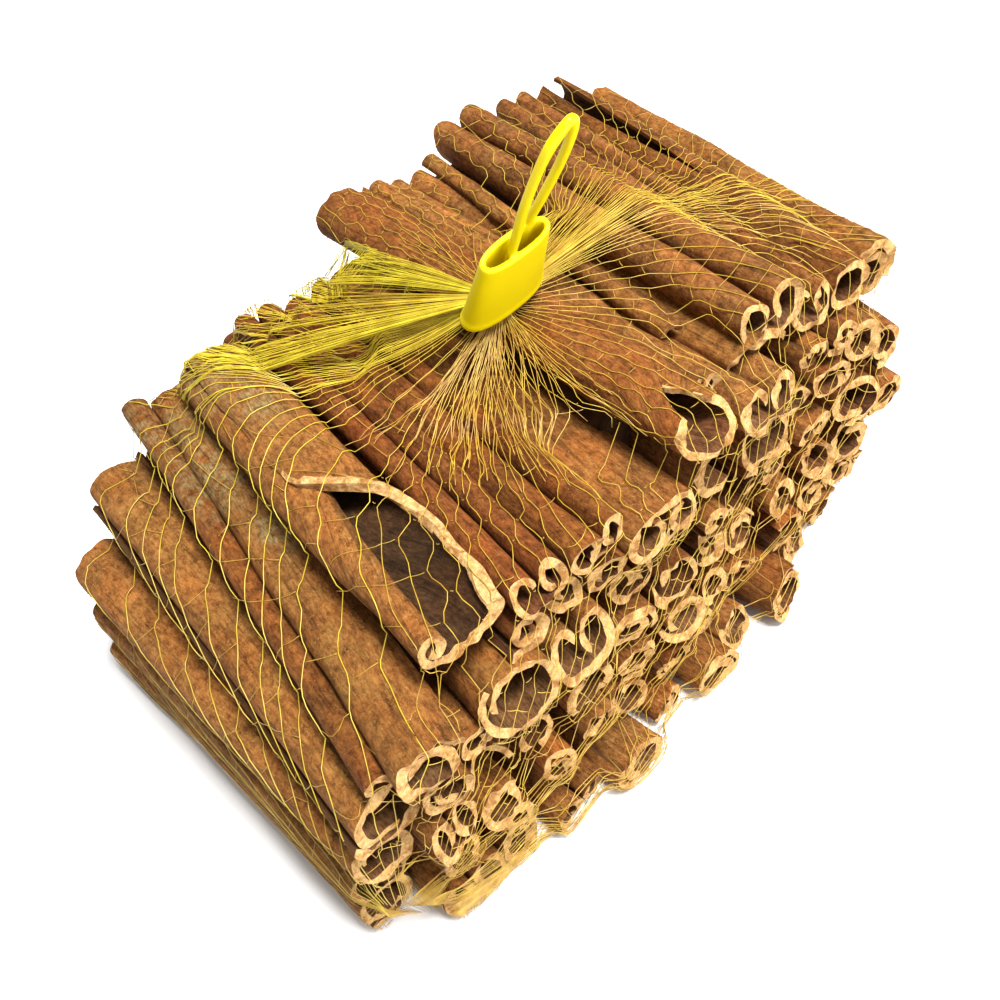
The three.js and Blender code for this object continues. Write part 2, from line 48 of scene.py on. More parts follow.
# ---- driving dimensions ----
SHIFT = np.array([1.22, 1.46, 0.0])  # from the frame in which the bundle was measured to the part's
FRONT_Y, BACK_Y = -40.0, 40.0  # the sticks are 80 mm long
FRONT_SLOPE, BACK_SLOPE = 0.088, 0.065  # the two faces' slant against X
WALL = 1.2  # thickness of the curled bark
SINK = 0.9  # every stick lies this much lower than its row says
FLOOR_GAP = 0.45  # the net's strands lie between the sticks and the floor
FLATTENED = {10: 0.9, 11: 0.62, 12: 0.76, 13: 0.76, 15: 0.78}  # by rim stick: 1 is round, 0.5 a box

# The camera, solved from both ends of forty sticks; angles in degrees.
CAMERA_AZIMUTH, CAMERA_ELEVATION, CAMERA_ROLL = -31.0, 48.5, -13.0
CAMERA_PLACE = (-66.0, -102.0, 154.1)
LENS, SENSOR = 36.0, 36.0

# Each stick: x and z of its front end, x and z of its back end, lead, width, height, turn in degrees,
# form, tail, tone. lead is how far the front end stands out past the face, and tail how much is missing
# at the back. The rim's sticks go round the outside, from the upper right over the top and the left.
RIM_STICKS = [
    (53, 50.8, 67, 47.8, -4, 9, 11.5, 0, 'roll', 0, 'brown'),
    (42, 56.5, 54, 57, -1.5, 8.5, 8, 0, 'split', 0, 'dark'),
    (33, 58.5, 43.7, 59, -2.5, 8.5, 7.5, 0, 'pair', 0, 'brown'),
    (23.5, 63, 30.2, 61.7, -3, 12, 8.8, 10, 'pair', 0, 'brown'),
    (17, 54.5, 15.5, 57, 2, 12, 8, -8, 'pair', 0, 'tan'),
    (3.5, 60, 2.2, 60.5, 1.5, 12.5, 9, 0, 'mouth', 0, 'red'),
    (-6.5, 50, -3, 52, 2, 13, 8, 180, 'pair', 6, 'brown'),
    (-18, 57, -13, 54, 1, 10, 7, 0, 'pair', 7, 'deep'),
    (-27.5, 58, -22, 55, 0, 9, 6.5, 0, 'pair', 5, 'deep'),
    (-31, 52, -26, 50.5, 0, 8, 7, 0, 'roll', 0, 'dark'),
    (-35, 45, -31, 44, 2, 13.5, 11, 0, 'roll', 0, 'brown'),
    (-50, 47.5, -40, 49, 2, 10.5, 9, 0, 'roll', 2.5, 'grey'),
    (-56.5, 38.5, -55.3, 41.3, -3, 12.5, 10.5, 0, 'roll', 1.5, 'tan'),
    (-59, 28.5, -65, 29.3, -4, 10.5, 9.5, 0, 'roll', 1.8, 'tan'),
    (-61, 18, -66.7, 19, -7, 10, 9, 0, 'pair', 1, 'tan'),
    (-62, 7.8, -68.3, 7.3, -8.5, 11, 9, 0, 'roll', 0, 'tan'),
    (-50, 6, -58.5, 5.5, -0.5, 12, 9.5, 0, 'pair', 0, 'brown'),
    (-41, 5, -49, 5, -0.5, 9, 9, 0, 'roll', 0, 'dark'),
    (-29, 4.5, -38.5, 4.5, 2, 12, 8, 0, 'pair', 0, 'brown'),
    (-17.8, 4.8, -28, 4.5, 5.5, 11.5, 8.5, 0, 'roll', 0, 'tan'),
    (-8, 4.3, -18, 4.3, 2.2, 8.5, 7.5, 0, 'roll', 0, 'red'),
    (2, 5.2, -8, 5, 5.5, 10.5, 9.5, 0, 'roll', 0, 'brown'),
    (11.5, 5, 1.5, 4.5, 1.8, 9, 9, 0, 'roll', 0, 'brown'),
    (22, 5.7, 12, 5.7, 5.5, 11.5, 10.5, 0, 'roll', 0, 'dark'),
    (33, 5, 22.5, 5, -0.7, 9, 9, 0, 'roll', 0, 'brown'),
    (42.5, 5, 32.5, 5, -1, 9, 9, 0, 'roll', 0, 'tan'),
    (51, 7, 43, 5.5, -2, 9, 8.5, 0, 'roll', 0, 'red'),
    (53.5, 15.5, 61, 17, -2.7, 8, 8, 0, 'roll', 0, 'brown'),
    (55, 25.5, 65, 28, 1.5, 8.5, 10, 0, 'roll', 0, 'brown'),
    (54, 37, 63, 39, 0, 8, 9, 0, 'roll', 0, 'dark'),
    (45.5, 43.5, 57, 43, 0, 8, 10, 0, 'roll', 0, 'brown'),
]
LOOSE_STICKS = [
    (14.5, 60, 21.5, 60.3, -14, 3.5, 3, 0, 'slab', 0, 'tan'),
    (-39.5, 59, -33.5, 56, -3, 13.5, 8, 0, 'scoop', 10.5, 'grey'),
    # The last one's 'dark' tone is painted shade: it lies in the shadow between two rim sticks.
    (-55.5, 46, -46.2, 51, -2, 4.5, 4.5, 0, 'slab', 0, 'dark'),
]
# The same without tail and tone: these are whole, and their tones take turns. Most are straight rolls
# and leave out turn and form too.
INNER_STICKS = [
    (20.5, 58.3, 25, 54.5, -3, 11, 5, 0, 'slab'),
    (31.5, 51.5, 39, 51.5, 0, 6.5, 6.5),
    (39.5, 49, 47, 49.5, 0, 8, 7),
    (19.5, 43.5, 21, 44, 0, 10.5, 8, 0, 'pair'),
    (28.5, 43.5, 33, 43.5, -1, 8, 7),
    (37, 41.5, 44, 41, 0, 9, 7.5),
    (7.5, 48, 8, 47, 0, 11.5, 8, 270, 'gutter'),
    (-1, 41, 2, 42, -1, 8, 7),
    (-15.5, 48, -11, 45, 0, 8.5, 7.5),
    (-23, 51, -18, 46.5, -1, 7, 6.5),
    (-23, 41, -18, 39, 1, 11, 10.5, 0, 'pair'),
    (-10.5, 40, -7, 38, -1, 8.5, 8, 0, 'pair'),
    (-42.5, 40.5, -36.5, 38, 0, 6.5, 7),
    (-48.5, 38, -47, 39.5, 1, 8.5, 8.5),
    (-33.5, 35.5, -27, 36, 0, 9, 7),
    (-41.5, 31.5, -38, 29, 0, 8, 8.5, 0, 'slab'),
    (-50, 28.5, -55, 29.5, 1, 8.5, 9, 0, 'pair'),
    (-33, 27.5, -28, 27.5, -1, 7.5, 7.5),
    (-23.5, 29, -19, 28, 1, 10, 10),
    (-12.5, 30.5, -9, 29, 0, 9.5, 8.5),
    (-2, 31.5, 1, 32, 0, 10, 8),
    (6.5, 37.5, 10, 38, 1, 6.5, 7.5),
    (7, 29.5, 11, 30, -1, 7, 7),
    (16, 34, 20, 35, -1, 8.5, 7.5, 60, 'gutter'),
    (25, 33, 29, 33.5, -1, 8.5, 8.5),
    (34, 33.5, 40, 32.5, 0, 9, 7),
    (44.5, 32, 52, 31, 1, 12, 9),
    (15.5, 24.5, 19, 25, -1, 9, 8),
    (25.5, 23.5, 30, 24, 0, 8.5, 8),
    (35.5, 24.5, 41, 24, 0, 9, 8.5),
    (-1.5, 21.8, 2, 22, 1, 9.5, 8.5),
    (-12, 21.5, -8, 20.5, 0, 9, 7.5),
    (7, 20, 11, 20.5, 0, 7.5, 8),
    (-42, 22, -44, 20, 1, 8.5, 8),
    (-50.5, 18.5, -57, 18, 0, 8.5, 9),
    (-31.5, 17.5, -30, 18, 1, 6.5, 12),
    (-22.8, 18, -18.5, 18, 1, 8, 8.5),
    (-14, 13.3, -9, 13, 0, 9, 8.5),
    (-4.5, 13, 1, 13, 1, 8.5, 8),
    (4, 12.2, 9.5, 12, 0, 8, 7.5),
    (14, 15, 18, 15.5, 0, 9, 8.5),
    (26.5, 15, 31, 15.5, 1, 9.5, 8.5, 90, 'gutter'),
    (36, 15.5, 42, 15, 0, 8.5, 8.5),
    (45.5, 22, 53, 21.5, 1, 9.5, 9),
    (-39.5, 13.3, -38, 12.5, 0, 7, 7.5),
    (45, 13, 51, 12.5, 0, 8, 7),
    (10.8, 58.5, 9, 60.8, -4, 6.5, 6.5),
]
INNER_TONES = ('tan', 'brown', 'dark', 'brown', 'brown', 'red')
# Colour of the bark against the plain brown: red, green and blue factors. Mostly the bark's own tone; 'dark'
# on the last loose stick is painted shade.
TONES = {
    'brown': (1.0, 1.0, 1.0),
    'tan': (1.12, 1.18, 1.2),
    'red': (1.03, 0.90, 0.84),
    'dark': (0.74, 0.66, 0.62),
    'deep': (0.78, 0.64, 0.56),
    'grey': (1.02, 1.06, 1.02),
}
# Grey-green lichen: middle of each patch and its radius.
LICHEN = [
    ((-36, 22, 60), 9), ((-35, 10, 61), 6), ((-46, 12, 52), 9), ((-45, 24, 53), 7),
    ((-44, -5, 52), 5), ((-50, 30, 50), 8),
]


# ---- helpers ----
def seeded_random(seed):
    """The same stream of numbers as the part's source draws."""
    state = [seed & 0xffffffff]

    def draw():
        state[0] = (state[0] + 0x6d2b79f5) & 0xffffffff
        t = ((state[0] ^ (state[0] >> 15)) * (state[0] | 1)) & 0xffffffff
        t ^= (t + (((t ^ (t >> 7)) * (t | 61)) & 0xffffffff)) & 0xffffffff
        return ((t ^ (t >> 14)) & 0xffffffff) / 4294967296
    return draw


def blobs(points, cell, seed):
    """A smooth random field from -1 to 1 whose blobs are about cell wide (a number or one per axis)."""
    q = np.asarray(points, float) / cell
    base = np.floor(q).astype(np.int64)
    f = q - base
    f = f * f * (3 - 2 * f)
    total = np.zeros(len(q))
    for corner in np.ndindex(2, 2, 2):
        k = (base + corner) * (73856093, 19349663, 83492791)
        h = (k[:, 0] ^ k[:, 1] ^ k[:, 2]) + seed * 668265263
        h = ((h ^ (h >> 15)) * 2246822519) & 0xffffffff
        h = ((h ^ (h >> 13)) * 3266489917) & 0xffffffff
        weight = np.prod(np.where(corner, f, 1 - f), axis=1)
        total += weight * ((h & 0xffff) / 32767.5 - 1)
    return total


def smooth_step(x):
    """From 0 to 1 as x does, with a soft start and end."""
    x = np.clip(x, 0, 1)
    return x * x * (3 - 2 * x)


def unit(v):
    """The same vectors at length 1."""
    v = np.asarray(v, float)
    return v / np.maximum(np.linalg.norm(v, axis=-1, keepdims=True), 1e-9)


def run_along(line):
    """How far along the line each of its points lies."""
    return np.concatenate([[0], np.cumsum(np.linalg.norm(np.diff(line, axis=0), axis=1))])


def evenly(line, count):
    """The same line as count evenly spaced points."""
    run = run_along(line)
    at = np.linspace(0, run[-1], count)
    return np.stack([np.interp(at, run, values) for values in line.T], 1)


def loft(rings):
    """Points and faces of a closed tube through rings of equal count."""
    count, last = len(rings[0]), len(rings) - 1
    faces = []
    for a in range(0, last * count, count):
        for i in range(count):
            k = (i + 1) % count
            faces.append((a + i, a + k, a + count + k, a + count + i))
    faces.append(tuple(reversed(range(count))))
    faces.append(tuple(range(last * count, (last + 1) * count)))
    return np.concatenate(rings), faces


def joined(meshes):
    """Points and faces of several meshes as one."""
    points, faces, start = [], [], 0
    for some, quads in meshes:
        points.append(some)
        faces.extend(tuple(start + i for i in quad) for quad in quads)
        start += len(some)
    return np.concatenate(points), faces


# By how many numbers a point has: an attribute's type and the field that holds them.
ATTRIBUTE_TYPES = {1: ('FLOAT', "value"), 3: ('FLOAT_VECTOR', "vector"), 4: ('FLOAT_COLOR', "color")}


def show(name, data):
    """An object of the scene for a mesh, light or camera."""
    item = bpy.data.objects.new(name, data)
    bpy.context.scene.collection.objects.link(item)
    return item


def make_piece(name, mesh_data, materials, kinds=None, attributes=None):
    """An object from points in mm and faces; kinds are the faces' material numbers."""
    points, faces = mesh_data
    mesh = bpy.data.meshes.new(name)
    mesh.from_pydata(((np.asarray(points) + SHIFT) * MM).tolist(), [], faces)
    for material in materials:
        mesh.materials.append(material)
    if kinds is not None:
        mesh.polygons.foreach_set("material_index", np.asarray(kinds, np.int32))
    for key, values in (attributes or {}).items():
        values = np.asarray(values, np.float32)
        kind, field = ATTRIBUTE_TYPES[values.size // len(values)]
        mesh.attributes.new(key, kind, 'POINT').data.foreach_set(field, values.ravel())
    mesh.polygons.foreach_set("use_smooth", [True] * len(mesh.polygons))
    mesh.update()
    return show(name, mesh)


# ---- materials ----
class Nodes:
    """A short way to write a material's node tree."""

    def __init__(self, name):
        self.material = bpy.data.materials.new(name)
        self.material.use_nodes = True
        self.tree = self.material.node_tree
        self.tree.nodes.clear()
        output = self.add("ShaderNodeOutputMaterial")
        self.shader = self.add("ShaderNodeBsdfPrincipled")
        self.link(self.shader.outputs[0], output.inputs["Surface"])

    def add(self, kind, **settings):
        node = self.tree.nodes.new(kind)
        for key, value in settings.items():
            setattr(node, key, value)
        return node

    def link(self, source, target):
        self.tree.links.new(source, target)

    def attribute(self, name, output="Vector"):
        return self.add("ShaderNodeAttribute", attribute_name=name).outputs[output]

    def place(self):
        """The point of the piece, in metres."""
        return self.add("ShaderNodeTexCoord").outputs["Object"]

    def noise(self, vector, scale, detail=4.0, roughness=0.6, distortion=0.0, stretch=(1, 1, 1)):
        mapping = self.add("ShaderNodeMapping")
        mapping.inputs["Scale"].default_value = stretch
        self.link(vector, mapping.inputs["Vector"])
        node = self.add("ShaderNodeTexNoise")
        node.inputs["Scale"].default_value = scale
        node.inputs["Detail"].default_value = detail
        node.inputs["Roughness"].default_value = roughness
        node.inputs["Distortion"].default_value = distortion
        self.link(mapping.outputs[0], node.inputs["Vector"])
        return node.outputs["Fac"]

    def ramp(self, value, stops):
        """A colour for each position of value, or a grey where a stop has one number."""
        node = self.add("ShaderNodeValToRGB")
        elements = node.color_ramp.elements
        while len(elements) < len(stops):
            elements.new(0.5)
        for element, (position, colour) in zip(elements, stops):
            element.position = position
            element.color = (*colour, 1) if isinstance(colour, tuple) else (colour, colour, colour, 1)
        self.link(value, node.inputs[0])
        return node.outputs[0]

    def mix(self, kind, factor, a, b):
        node = self.add("ShaderNodeMix", data_type='RGBA', blend_type=kind)
        for socket, value in ((0, factor), (6, a), (7, b)):
            if isinstance(value, bpy.types.NodeSocket):
                self.link(value, node.inputs[socket])
            else:
                node.inputs[socket].default_value = (*value, 1) if isinstance(value, tuple) else value
        return node.outputs[2]

    def times(self, a, b):
        node = self.add("ShaderNodeMath", operation='MULTIPLY')
        self.link(a, node.inputs[0])
        self.link(b, node.inputs[1])
        return node.outputs[0]

    def bump(self, height, distance, normal=None):
        """Relief of distance mm, on top of another bump's normal if one is given."""
        node = self.add("ShaderNodeBump")
        node.inputs["Distance"].default_value = distance * MM
        self.link(height, node.inputs["Height"])
        if normal is not None:
            self.link(normal, node.inputs["Normal"])
        return node.outputs[0]

    def finish(self, colour, roughness, specular=0.5, normal=None):
        """The material with its colour and relief linked, and with what is the same all over set."""
        self.link(colour, self.shader.inputs["Base Color"])
        self.shader.inputs["Roughness"].default_value = roughness
        self.shader.inputs["Specular IOR Level"].default_value = specular
        if normal is not None:
            self.link(normal, self.shader.inputs["Normal"])
        return self.material


def bark_material(name, dark, middle, light, flecks_and_glints, roughness):
    """Dry bark: pale and dark specks, fibres and fine cracks in browns, toned stick by stick, with lichen in
    patches. The pale specks are partly the bark's own colour and partly painted highlight, for its granular
    glints.
    """
    n = Nodes(name)
    grain = n.attribute("grain")
    patches = n.noise(grain, 0.11, 3, 0.6, 0.6)
    warmth = n.noise(grain, 0.19, 4, 0.65, 0.5, (1, 0.5, 1))
    mottle = n.noise(grain, 1.2, 8, 0.8, 0.4, (1, 0.6, 1))
    fibres = n.noise(grain, 3.4, 5, 0.75, 0.3, (1, 0.15, 1))
    cracks = n.noise(grain, 1.1, 3, 0.6, 0.4, (1, 0.06, 1))
    speck = n.noise(grain, 3.4, 4, 0.7, 0.2)
    warm, cool = (1.08, 0.94, 0.82), (0.94, 1.03, 1.06)
    base = n.ramp(mottle, ((0.34, dark), (0.5, middle), (0.66, light)))
    base = n.mix('MULTIPLY', 0.8, base, n.ramp(patches, ((0.32, 0.62), (0.62, 1.14))))
    base = n.mix('MULTIPLY', 0.8, base, n.ramp(warmth, ((0.36, warm), (0.62, cool))))
    base = n.mix('MULTIPLY', 0.75, base, n.ramp(fibres, ((0.36, 0.52), (0.56, 1.18))))
    base = n.mix('MULTIPLY', 0.7, base, n.ramp(cracks, ((0.36, 0.40), (0.43, 1.0))))
    # Pale specks: partly the bark's own colour, partly painted highlight for its granular glints.
    base = n.mix('MIX', n.ramp(speck, ((0.60, 0), (0.70, 0.75))), base, flecks_and_glints)
    base = n.mix('MIX', n.ramp(speck, ((0.30, 0.7), (0.40, 0))), base, dark)
    base = n.mix('MULTIPLY', 1.0, base, n.attribute("tone", "Color"))
    patchy = n.ramp(n.noise(grain, 0.8, 5, 0.7), ((0.42, 0), (0.6, 1)))
    lichen = n.times(n.attribute("lichen", "Fac"), patchy)
    moss = n.ramp(fibres, ((0.38, (0.12, 0.085, 0.03)), (0.56, (0.36, 0.27, 0.115))))
    base = n.mix('MIX', lichen, base, moss)
    relief = n.bump(fibres, 0.22, n.bump(mottle, 0.5))
    return n.finish(base, roughness, 0.12, n.bump(speck, 0.14, relief))


def cut_material():
    """The broken ends and torn edges: pale, fibrous."""
    n = Nodes("bark_cut")
    place = n.place()
    fibres = n.noise(place, 1700, 5, 0.75, 0.5)
    blotches = n.noise(place, 420, 4, 0.65, 0.5)
    dark, middle, light = (0.36, 0.185, 0.065), (0.57, 0.33, 0.125), (0.72, 0.47, 0.20)
    base = n.ramp(fibres, ((0.32, dark), (0.47, middle), (0.66, light)))
    base = n.mix('MULTIPLY', 0.95, base, n.ramp(blotches, ((0.38, (0.50, 0.38, 0.28)), (0.54, 1.0))))
    return n.finish(base, 0.9, 0.1, n.bump(fibres, 0.35))


def core_material():
    """Deep shade between the sticks."""
    n = Nodes("bark_shadow")
    base = n.ramp(n.noise(n.place(), 500, 4), ((0.3, (0.03, 0.014, 0.007)), (0.7, (0.07, 0.034, 0.018))))
    return n.finish(base, 1.0, 0.0)


def strand_material():
    """Stretched plastic yarn: lemon where it lies thick, golden where it is pulled thin over the bark; the
    lemon is also partly painted highlight, the shine of the yarn.
    """
    n = Nodes("net_yarn")
    place = n.place()
    gold = n.ramp(n.noise(place, 400, 2), ((0.35, (0.33, 0.165, 0.012)), (0.65, (0.54, 0.34, 0.04))))
    lemon = n.ramp(n.noise(place, 300, 2), ((0.35, (0.48, 0.38, 0.008)), (0.65, (0.70, 0.59, 0.03))))
    # thick: how lemon the yarn is, partly from its thickness and partly painted shine (the SHINE tables).
    base = n.mix('MIX', n.attribute("thick", "Fac"), gold, lemon)
    return n.finish(base, 0.38, 0.6, n.bump(n.noise(place, 1800, 2), 0.02))


def clip_material():
    """Moulded yellow plastic that light goes into a little."""
    n = Nodes("moulded_yellow")
    place = n.place()
    base = n.ramp(n.noise(place, 90, 2), ((0.3, (0.70, 0.565, 0.0)), (0.7, (0.75, 0.61, 0.0))))
    n.shader.inputs["Subsurface Weight"].default_value = 0.2
    n.shader.inputs["Subsurface Radius"].default_value = (1.0, 0.7, 0.1)
    n.shader.inputs["Subsurface Scale"].default_value = 1.0 * MM
    return n.finish(base, 0.4, 0.25, n.bump(n.noise(place, 700, 3), 0.03))


def floor_material():
    """Plain white ground."""
    n = Nodes("pale_floor")
    return n.finish(n.ramp(n.noise(n.place(), 6, 2), ((0.3, 0.86), (0.7, 0.88))), 0.8)


BARK_OUTER = bark_material("bark_outer", (0.085, 0.027, 0.006), (0.26, 0.094, 0.022),
                           (0.39, 0.172, 0.046), (0.50, 0.28, 0.10), 0.82)
BARK_INNER = bark_material("bark_inner", (0.065, 0.026, 0.011), (0.17, 0.072, 0.028),
                           (0.28, 0.135, 0.052), (0.28, 0.15, 0.07), 0.9)
BARK_CUT = cut_material()
BARK_SHADOW = core_material()
YARN = strand_material()
CLIP_YELLOW = clip_material()


# ---- one stick ----
END_ROOM = (0.7, 0.15)  # the net passes the broken front and back ends by this much
COVER_SIDES = 26  # of the simple shape that the net lies on
LEAN_FADE = 6  # a slanting end's lean is gone after a sixth of the length
LEAN_SEED, FORM_SEED, TORN_SEED, TONE_SEED = 977, 5200, 6100, 8800
OUTSIDE, INSIDE, TORN = 0, 1, 2  # material numbers of a stick's faces
SHARP_EDGE = 48  # degrees
# Shares of the stick's length, and degrees, of the forms that change along it.
MOUTH_SHUTS, MOUTH_OPENING, MOUTH_OVERLAP = 0.13, 58, 36
SCOOP_SHUTTING = (0.26, 0.5)  # where the open side of the half-unrolled stick closes
SCOOP_TORN = (0.40, 0.56)  # where its torn edge fades


def arc(radii, start, sweep, count, tighten=0.0):
    """Points of a spiral: degrees from +u towards +v, its radii shrinking by tighten on the way."""
    q = np.linspace(0, 1, count)
    angle = np.radians(start + sweep * q)
    shrink = 1 - tighten * q
    return np.stack([radii[0] * shrink * np.cos(angle), radii[1] * shrink * np.sin(angle)], 1)


def squared(line, rx, rz, power):
    """The same line with flatter sides and tighter corners: power 1 keeps it, 0.5 is nearly a box."""
    scaled = line / (rx, rz)
    radius = np.linalg.norm(scaled, axis=1, keepdims=True)
    way = scaled / np.maximum(radius, 1e-6)
    return radius * np.sign(way) * np.abs(way) ** power * (rx, rz)


class Stick:
    """One curled quill: its place, and the middle line of its bark at any distance along it."""

    def __init__(self, row, number):
        (front_x, front_z, back_x, back_z, lead, self.width, self.height, self.turn, self.form,
         tail, self.tone) = row
        self.number = number
        self.front = np.array([front_x, FRONT_Y + FRONT_SLOPE * front_x - lead, front_z - SINK])
        self.back = np.array([back_x, BACK_Y + BACK_SLOPE * back_x, back_z - SINK])
        self.along = unit(self.back - self.front)
        self.back = self.back - tail * self.along
        self.length = np.linalg.norm(self.back - self.front)
        self.across = unit(np.cross(self.along, (0, 0, 1)))
        self.up = np.cross(self.across, self.along)
        draw = seeded_random(LEAN_SEED + 31 * number)
        draw()
        self.front_tilt = (0.3 * (draw() - 0.5), 0.62 if self.form == 'mouth' else 0.5 * (draw() - 0.35))
        self.back_tilt = (0.3 * (draw() - 0.5), 0.4 * (draw() - 0.5))
        pick = random.Random(FORM_SEED + number)
        self.seam = pick.uniform(0, 360)
        self.turns = pick.choice((1.04, 1.12, 1.25, 1.4, 1.6))
        self.wall = WALL * pick.uniform(0.85, 1.12) * (0.8 + 0.2 * min(1, self.height / 8))
        self.share = pick.uniform(0.42, 0.58)
        self.curl = (pick.uniform(235, 400), pick.uniform(235, 400))
        self.twist = pick.uniform(-14, 14)
        self.bow = (pick.uniform(-0.5, 0.5), pick.uniform(-0.25, 0.35))
        self.wide = pick.uniform(-0.04, 0.04)
        self.square = FLATTENED.get(number, pick.uniform(0.78, 1.0))

    def middle_line(self, t, count):
        """The bark's middle line in the section at t, 0 at the front end and 1 at the back."""
        wall = self.wall
        rx = (self.width * (1 + self.wide * (2 * t - 1)) - wall) / 2
        rz = (self.height * (1 - self.wide * (2 * t - 1)) - wall) / 2
        if self.form == 'roll':
            tight = min(0.75, 1.2 * wall * self.turns / (0.5 * (rx + rz)))
            line = arc((rx, rz), self.seam + self.twist * t, 360 * self.turns, 90, tight)
            line = squared(line, rx, rz, self.square)
        elif self.form == 'pair':
            line = self.pair_line(rx, rz, t)
        elif self.form == 'gutter':
            line = arc((rx, rz), 139, 262, 60)
        elif self.form == 'slab':
            line = arc((rx, 1.4 * rz), 4, 172, 40) - (0, 0.4 * rz)
        elif self.form == 'mouth':
            closing = smooth_step(t / MOUTH_SHUTS)
            narrow = 0.82 + 0.18 * smooth_step(t / 0.2)
            opening = MOUTH_OPENING - (MOUTH_OPENING + MOUTH_OVERLAP) * closing
            line = arc((narrow * rx, narrow * rz), 96 + opening / 2, 360 - opening, 80, 0.06 + 0.16 * closing)
        elif self.form == 'split':
            opening = -20 + 62 * smooth_step((t - 0.25) / 0.5)
            line = arc((rx, rz), 100 + opening / 2, 360 - opening, 80, 0.1 * (1 - smooth_step(2 * t)))
        else:
            line = self.scoop_line(rx, rz, t)
        a = math.radians(self.turn)
        c, s = math.cos(a), math.sin(a)
        return evenly(line, count) @ np.array([[c, s], [-s, c]])

    def pair_line(self, rx, rz, t):
        """Both edges of the sheet curled in, side by side over a common floor."""
        halves = []
        for side, share, curl in ((-1, self.share, self.curl[0]), (1, 1 - self.share, self.curl[1])):
            radius = 2 * rx * share / 2
            sweep = curl + self.twist * (t - 0.5)
            tight = (sweep - 150) / 360 * 1.25 * self.wall / (0.5 * (radius + rz)) + 0.12
            half = arc((radius, rz), -90, sweep, 60, min(0.8, tight))
            half[:, 0] = side * (half[:, 0] + rx - radius)
            halves.append(half)
        return np.concatenate([halves[0][::-1], halves[1]])

    @staticmethod
    def scoop_line(rx, rz, t):
        """Half unrolled: one edge stays a small curl, the other stands open, flared, over the front half."""
        shut = smooth_step((t - SCOOP_SHUTTING[0]) / (SCOOP_SHUTTING[1] - SCOOP_SHUTTING[0]))
        grown = smooth_step(t / 0.5)
        curl = (1.8 + 2.1 * grown, 2.3 + 1.1 * grown)
        inset = 2.0 * (1 - smooth_step(t / 0.4))
        small = arc(curl, -90, 470, 50, 0.62)
        small[:, 0] = -(small[:, 0] + rx - inset - curl[0])
        small[:, 1] += curl[1] - rz
        big = arc((rx, rz), -90, 100 + 115 * shut, 60)
        flare = smooth_step(t / 0.12) * (1 - smooth_step((t - 0.2) / 0.25))
        big[:, 0] += 2.0 * flare * np.linspace(0, 1, 60) ** 2
        return np.concatenate([small[::-1], big])

    def place(self, u, v, depth):
        """Points from across, up and along in the stick, in mm from its front end."""
        t = np.clip(depth / self.length, 0, 1)
        bend = np.sin(np.pi * t)
        u = u + self.bow[0] * bend
        v = v + self.bow[1] * bend
        return self.front + u[:, None] * self.across + v[:, None] * self.up + depth[:, None] * self.along

    def build(self, ring, stations):
        """The mesh, the kinds of its faces and its attributes; keeps the cover for the net."""
        even = np.linspace(0, 1, stations)
        depths = 0.35 * (0.5 - 0.5 * np.cos(np.pi * even)) + 0.65 * even
        sections = [self.section(t, ring) for t in depths]
        points, grain = [], []
        for t, (shell, run) in zip(depths, sections):
            u, v = shell[:, 0], shell[:, 1]
            chip = 0.55 * self.noise(run, 7.0, (1.3, 9, 9), 5) + 0.5 * self.noise(run, 7.0, (4, 9, 9), 6)
            lean_front = self.front_tilt[0] * u + self.front_tilt[1] * v + chip
            lean_back = self.back_tilt[0] * u + self.back_tilt[1] * v + chip
            depth = t * self.length + lean_front * max(0, 1 - t * LEAN_FADE)
            depth = depth + lean_back * max(0, 1 - (1 - t) * LEAN_FADE)
            points.append(self.place(u, v, depth))
            grain.append(np.stack([run, depth, np.full(2 * ring, 23.0 * self.number)], 1))
        self.cover = self.hull_tube([shell for shell, _ in sections], points)
        points = np.concatenate(points)
        points[:, 2] = np.maximum(points[:, 2], FLOOR_GAP + 0.05 * np.sin(points[:, 0]))
        faces, kinds = self.faces(ring, stations)
        looks = {"grain": np.concatenate(grain), "tone": self.tones(stations, ring)}
        looks["lichen"] = lichen_at(points)
        return (points, faces), kinds, looks

    def noise(self, run, along, cell, layer):
        """Random relief at distances round and along the stick, one of several layers."""
        count = len(run)
        where = np.stack([run, np.full(count, along), np.full(count, 40.0 * self.number)], 1)
        return blobs(where, cell, 17 * self.number + 3 + layer)

    def section(self, t, ring):
        """The closed outline of the bark at t, its outside first, and the distance round it of each point."""
        line = self.middle_line(t, ring)
        run = run_along(line)
        along = t * self.length
        tangent = unit(np.gradient(line, axis=0))
        out = np.stack([tangent[:, 1], -tangent[:, 0]], 1)
        lumps = 0.30 * self.noise(run, along, (7, 20, 9), 0) + 0.16 * self.noise(run, along, (2.2, 9, 9), 1)
        crinkle = 0.10 * self.noise(run, along, (1.1, 2.6, 9), 2)
        thick = self.wall * (0.5 + 0.15 * self.noise(run, along, (3.5, 12, 9), 3))
        from_edge = np.minimum(run, run[-1] - run)
        thick = thick * (0.62 + 0.38 * smooth_step(from_edge / 1.2))
        if self.form == 'scoop':
            open_share = 1 - smooth_step((t - 0.5) / 0.12)
            thick = thick * (1 + 1.3 * open_share * smooth_step((run - run[-1] + 3) / 3))
        frayed = 0.45 * self.noise(run, along, (3, 5, 9), 4) * (1 - smooth_step(from_edge / 2))
        outer = line + out * (thick + lumps + crinkle)[:, None] + tangent * frayed[:, None]
        inner = line - out * (thick - 0.8 * lumps + 0.5 * crinkle)[:, None] + tangent * frayed[:, None]
        return np.concatenate([outer, inner[::-1]]), np.concatenate([run, run[::-1] + 61])

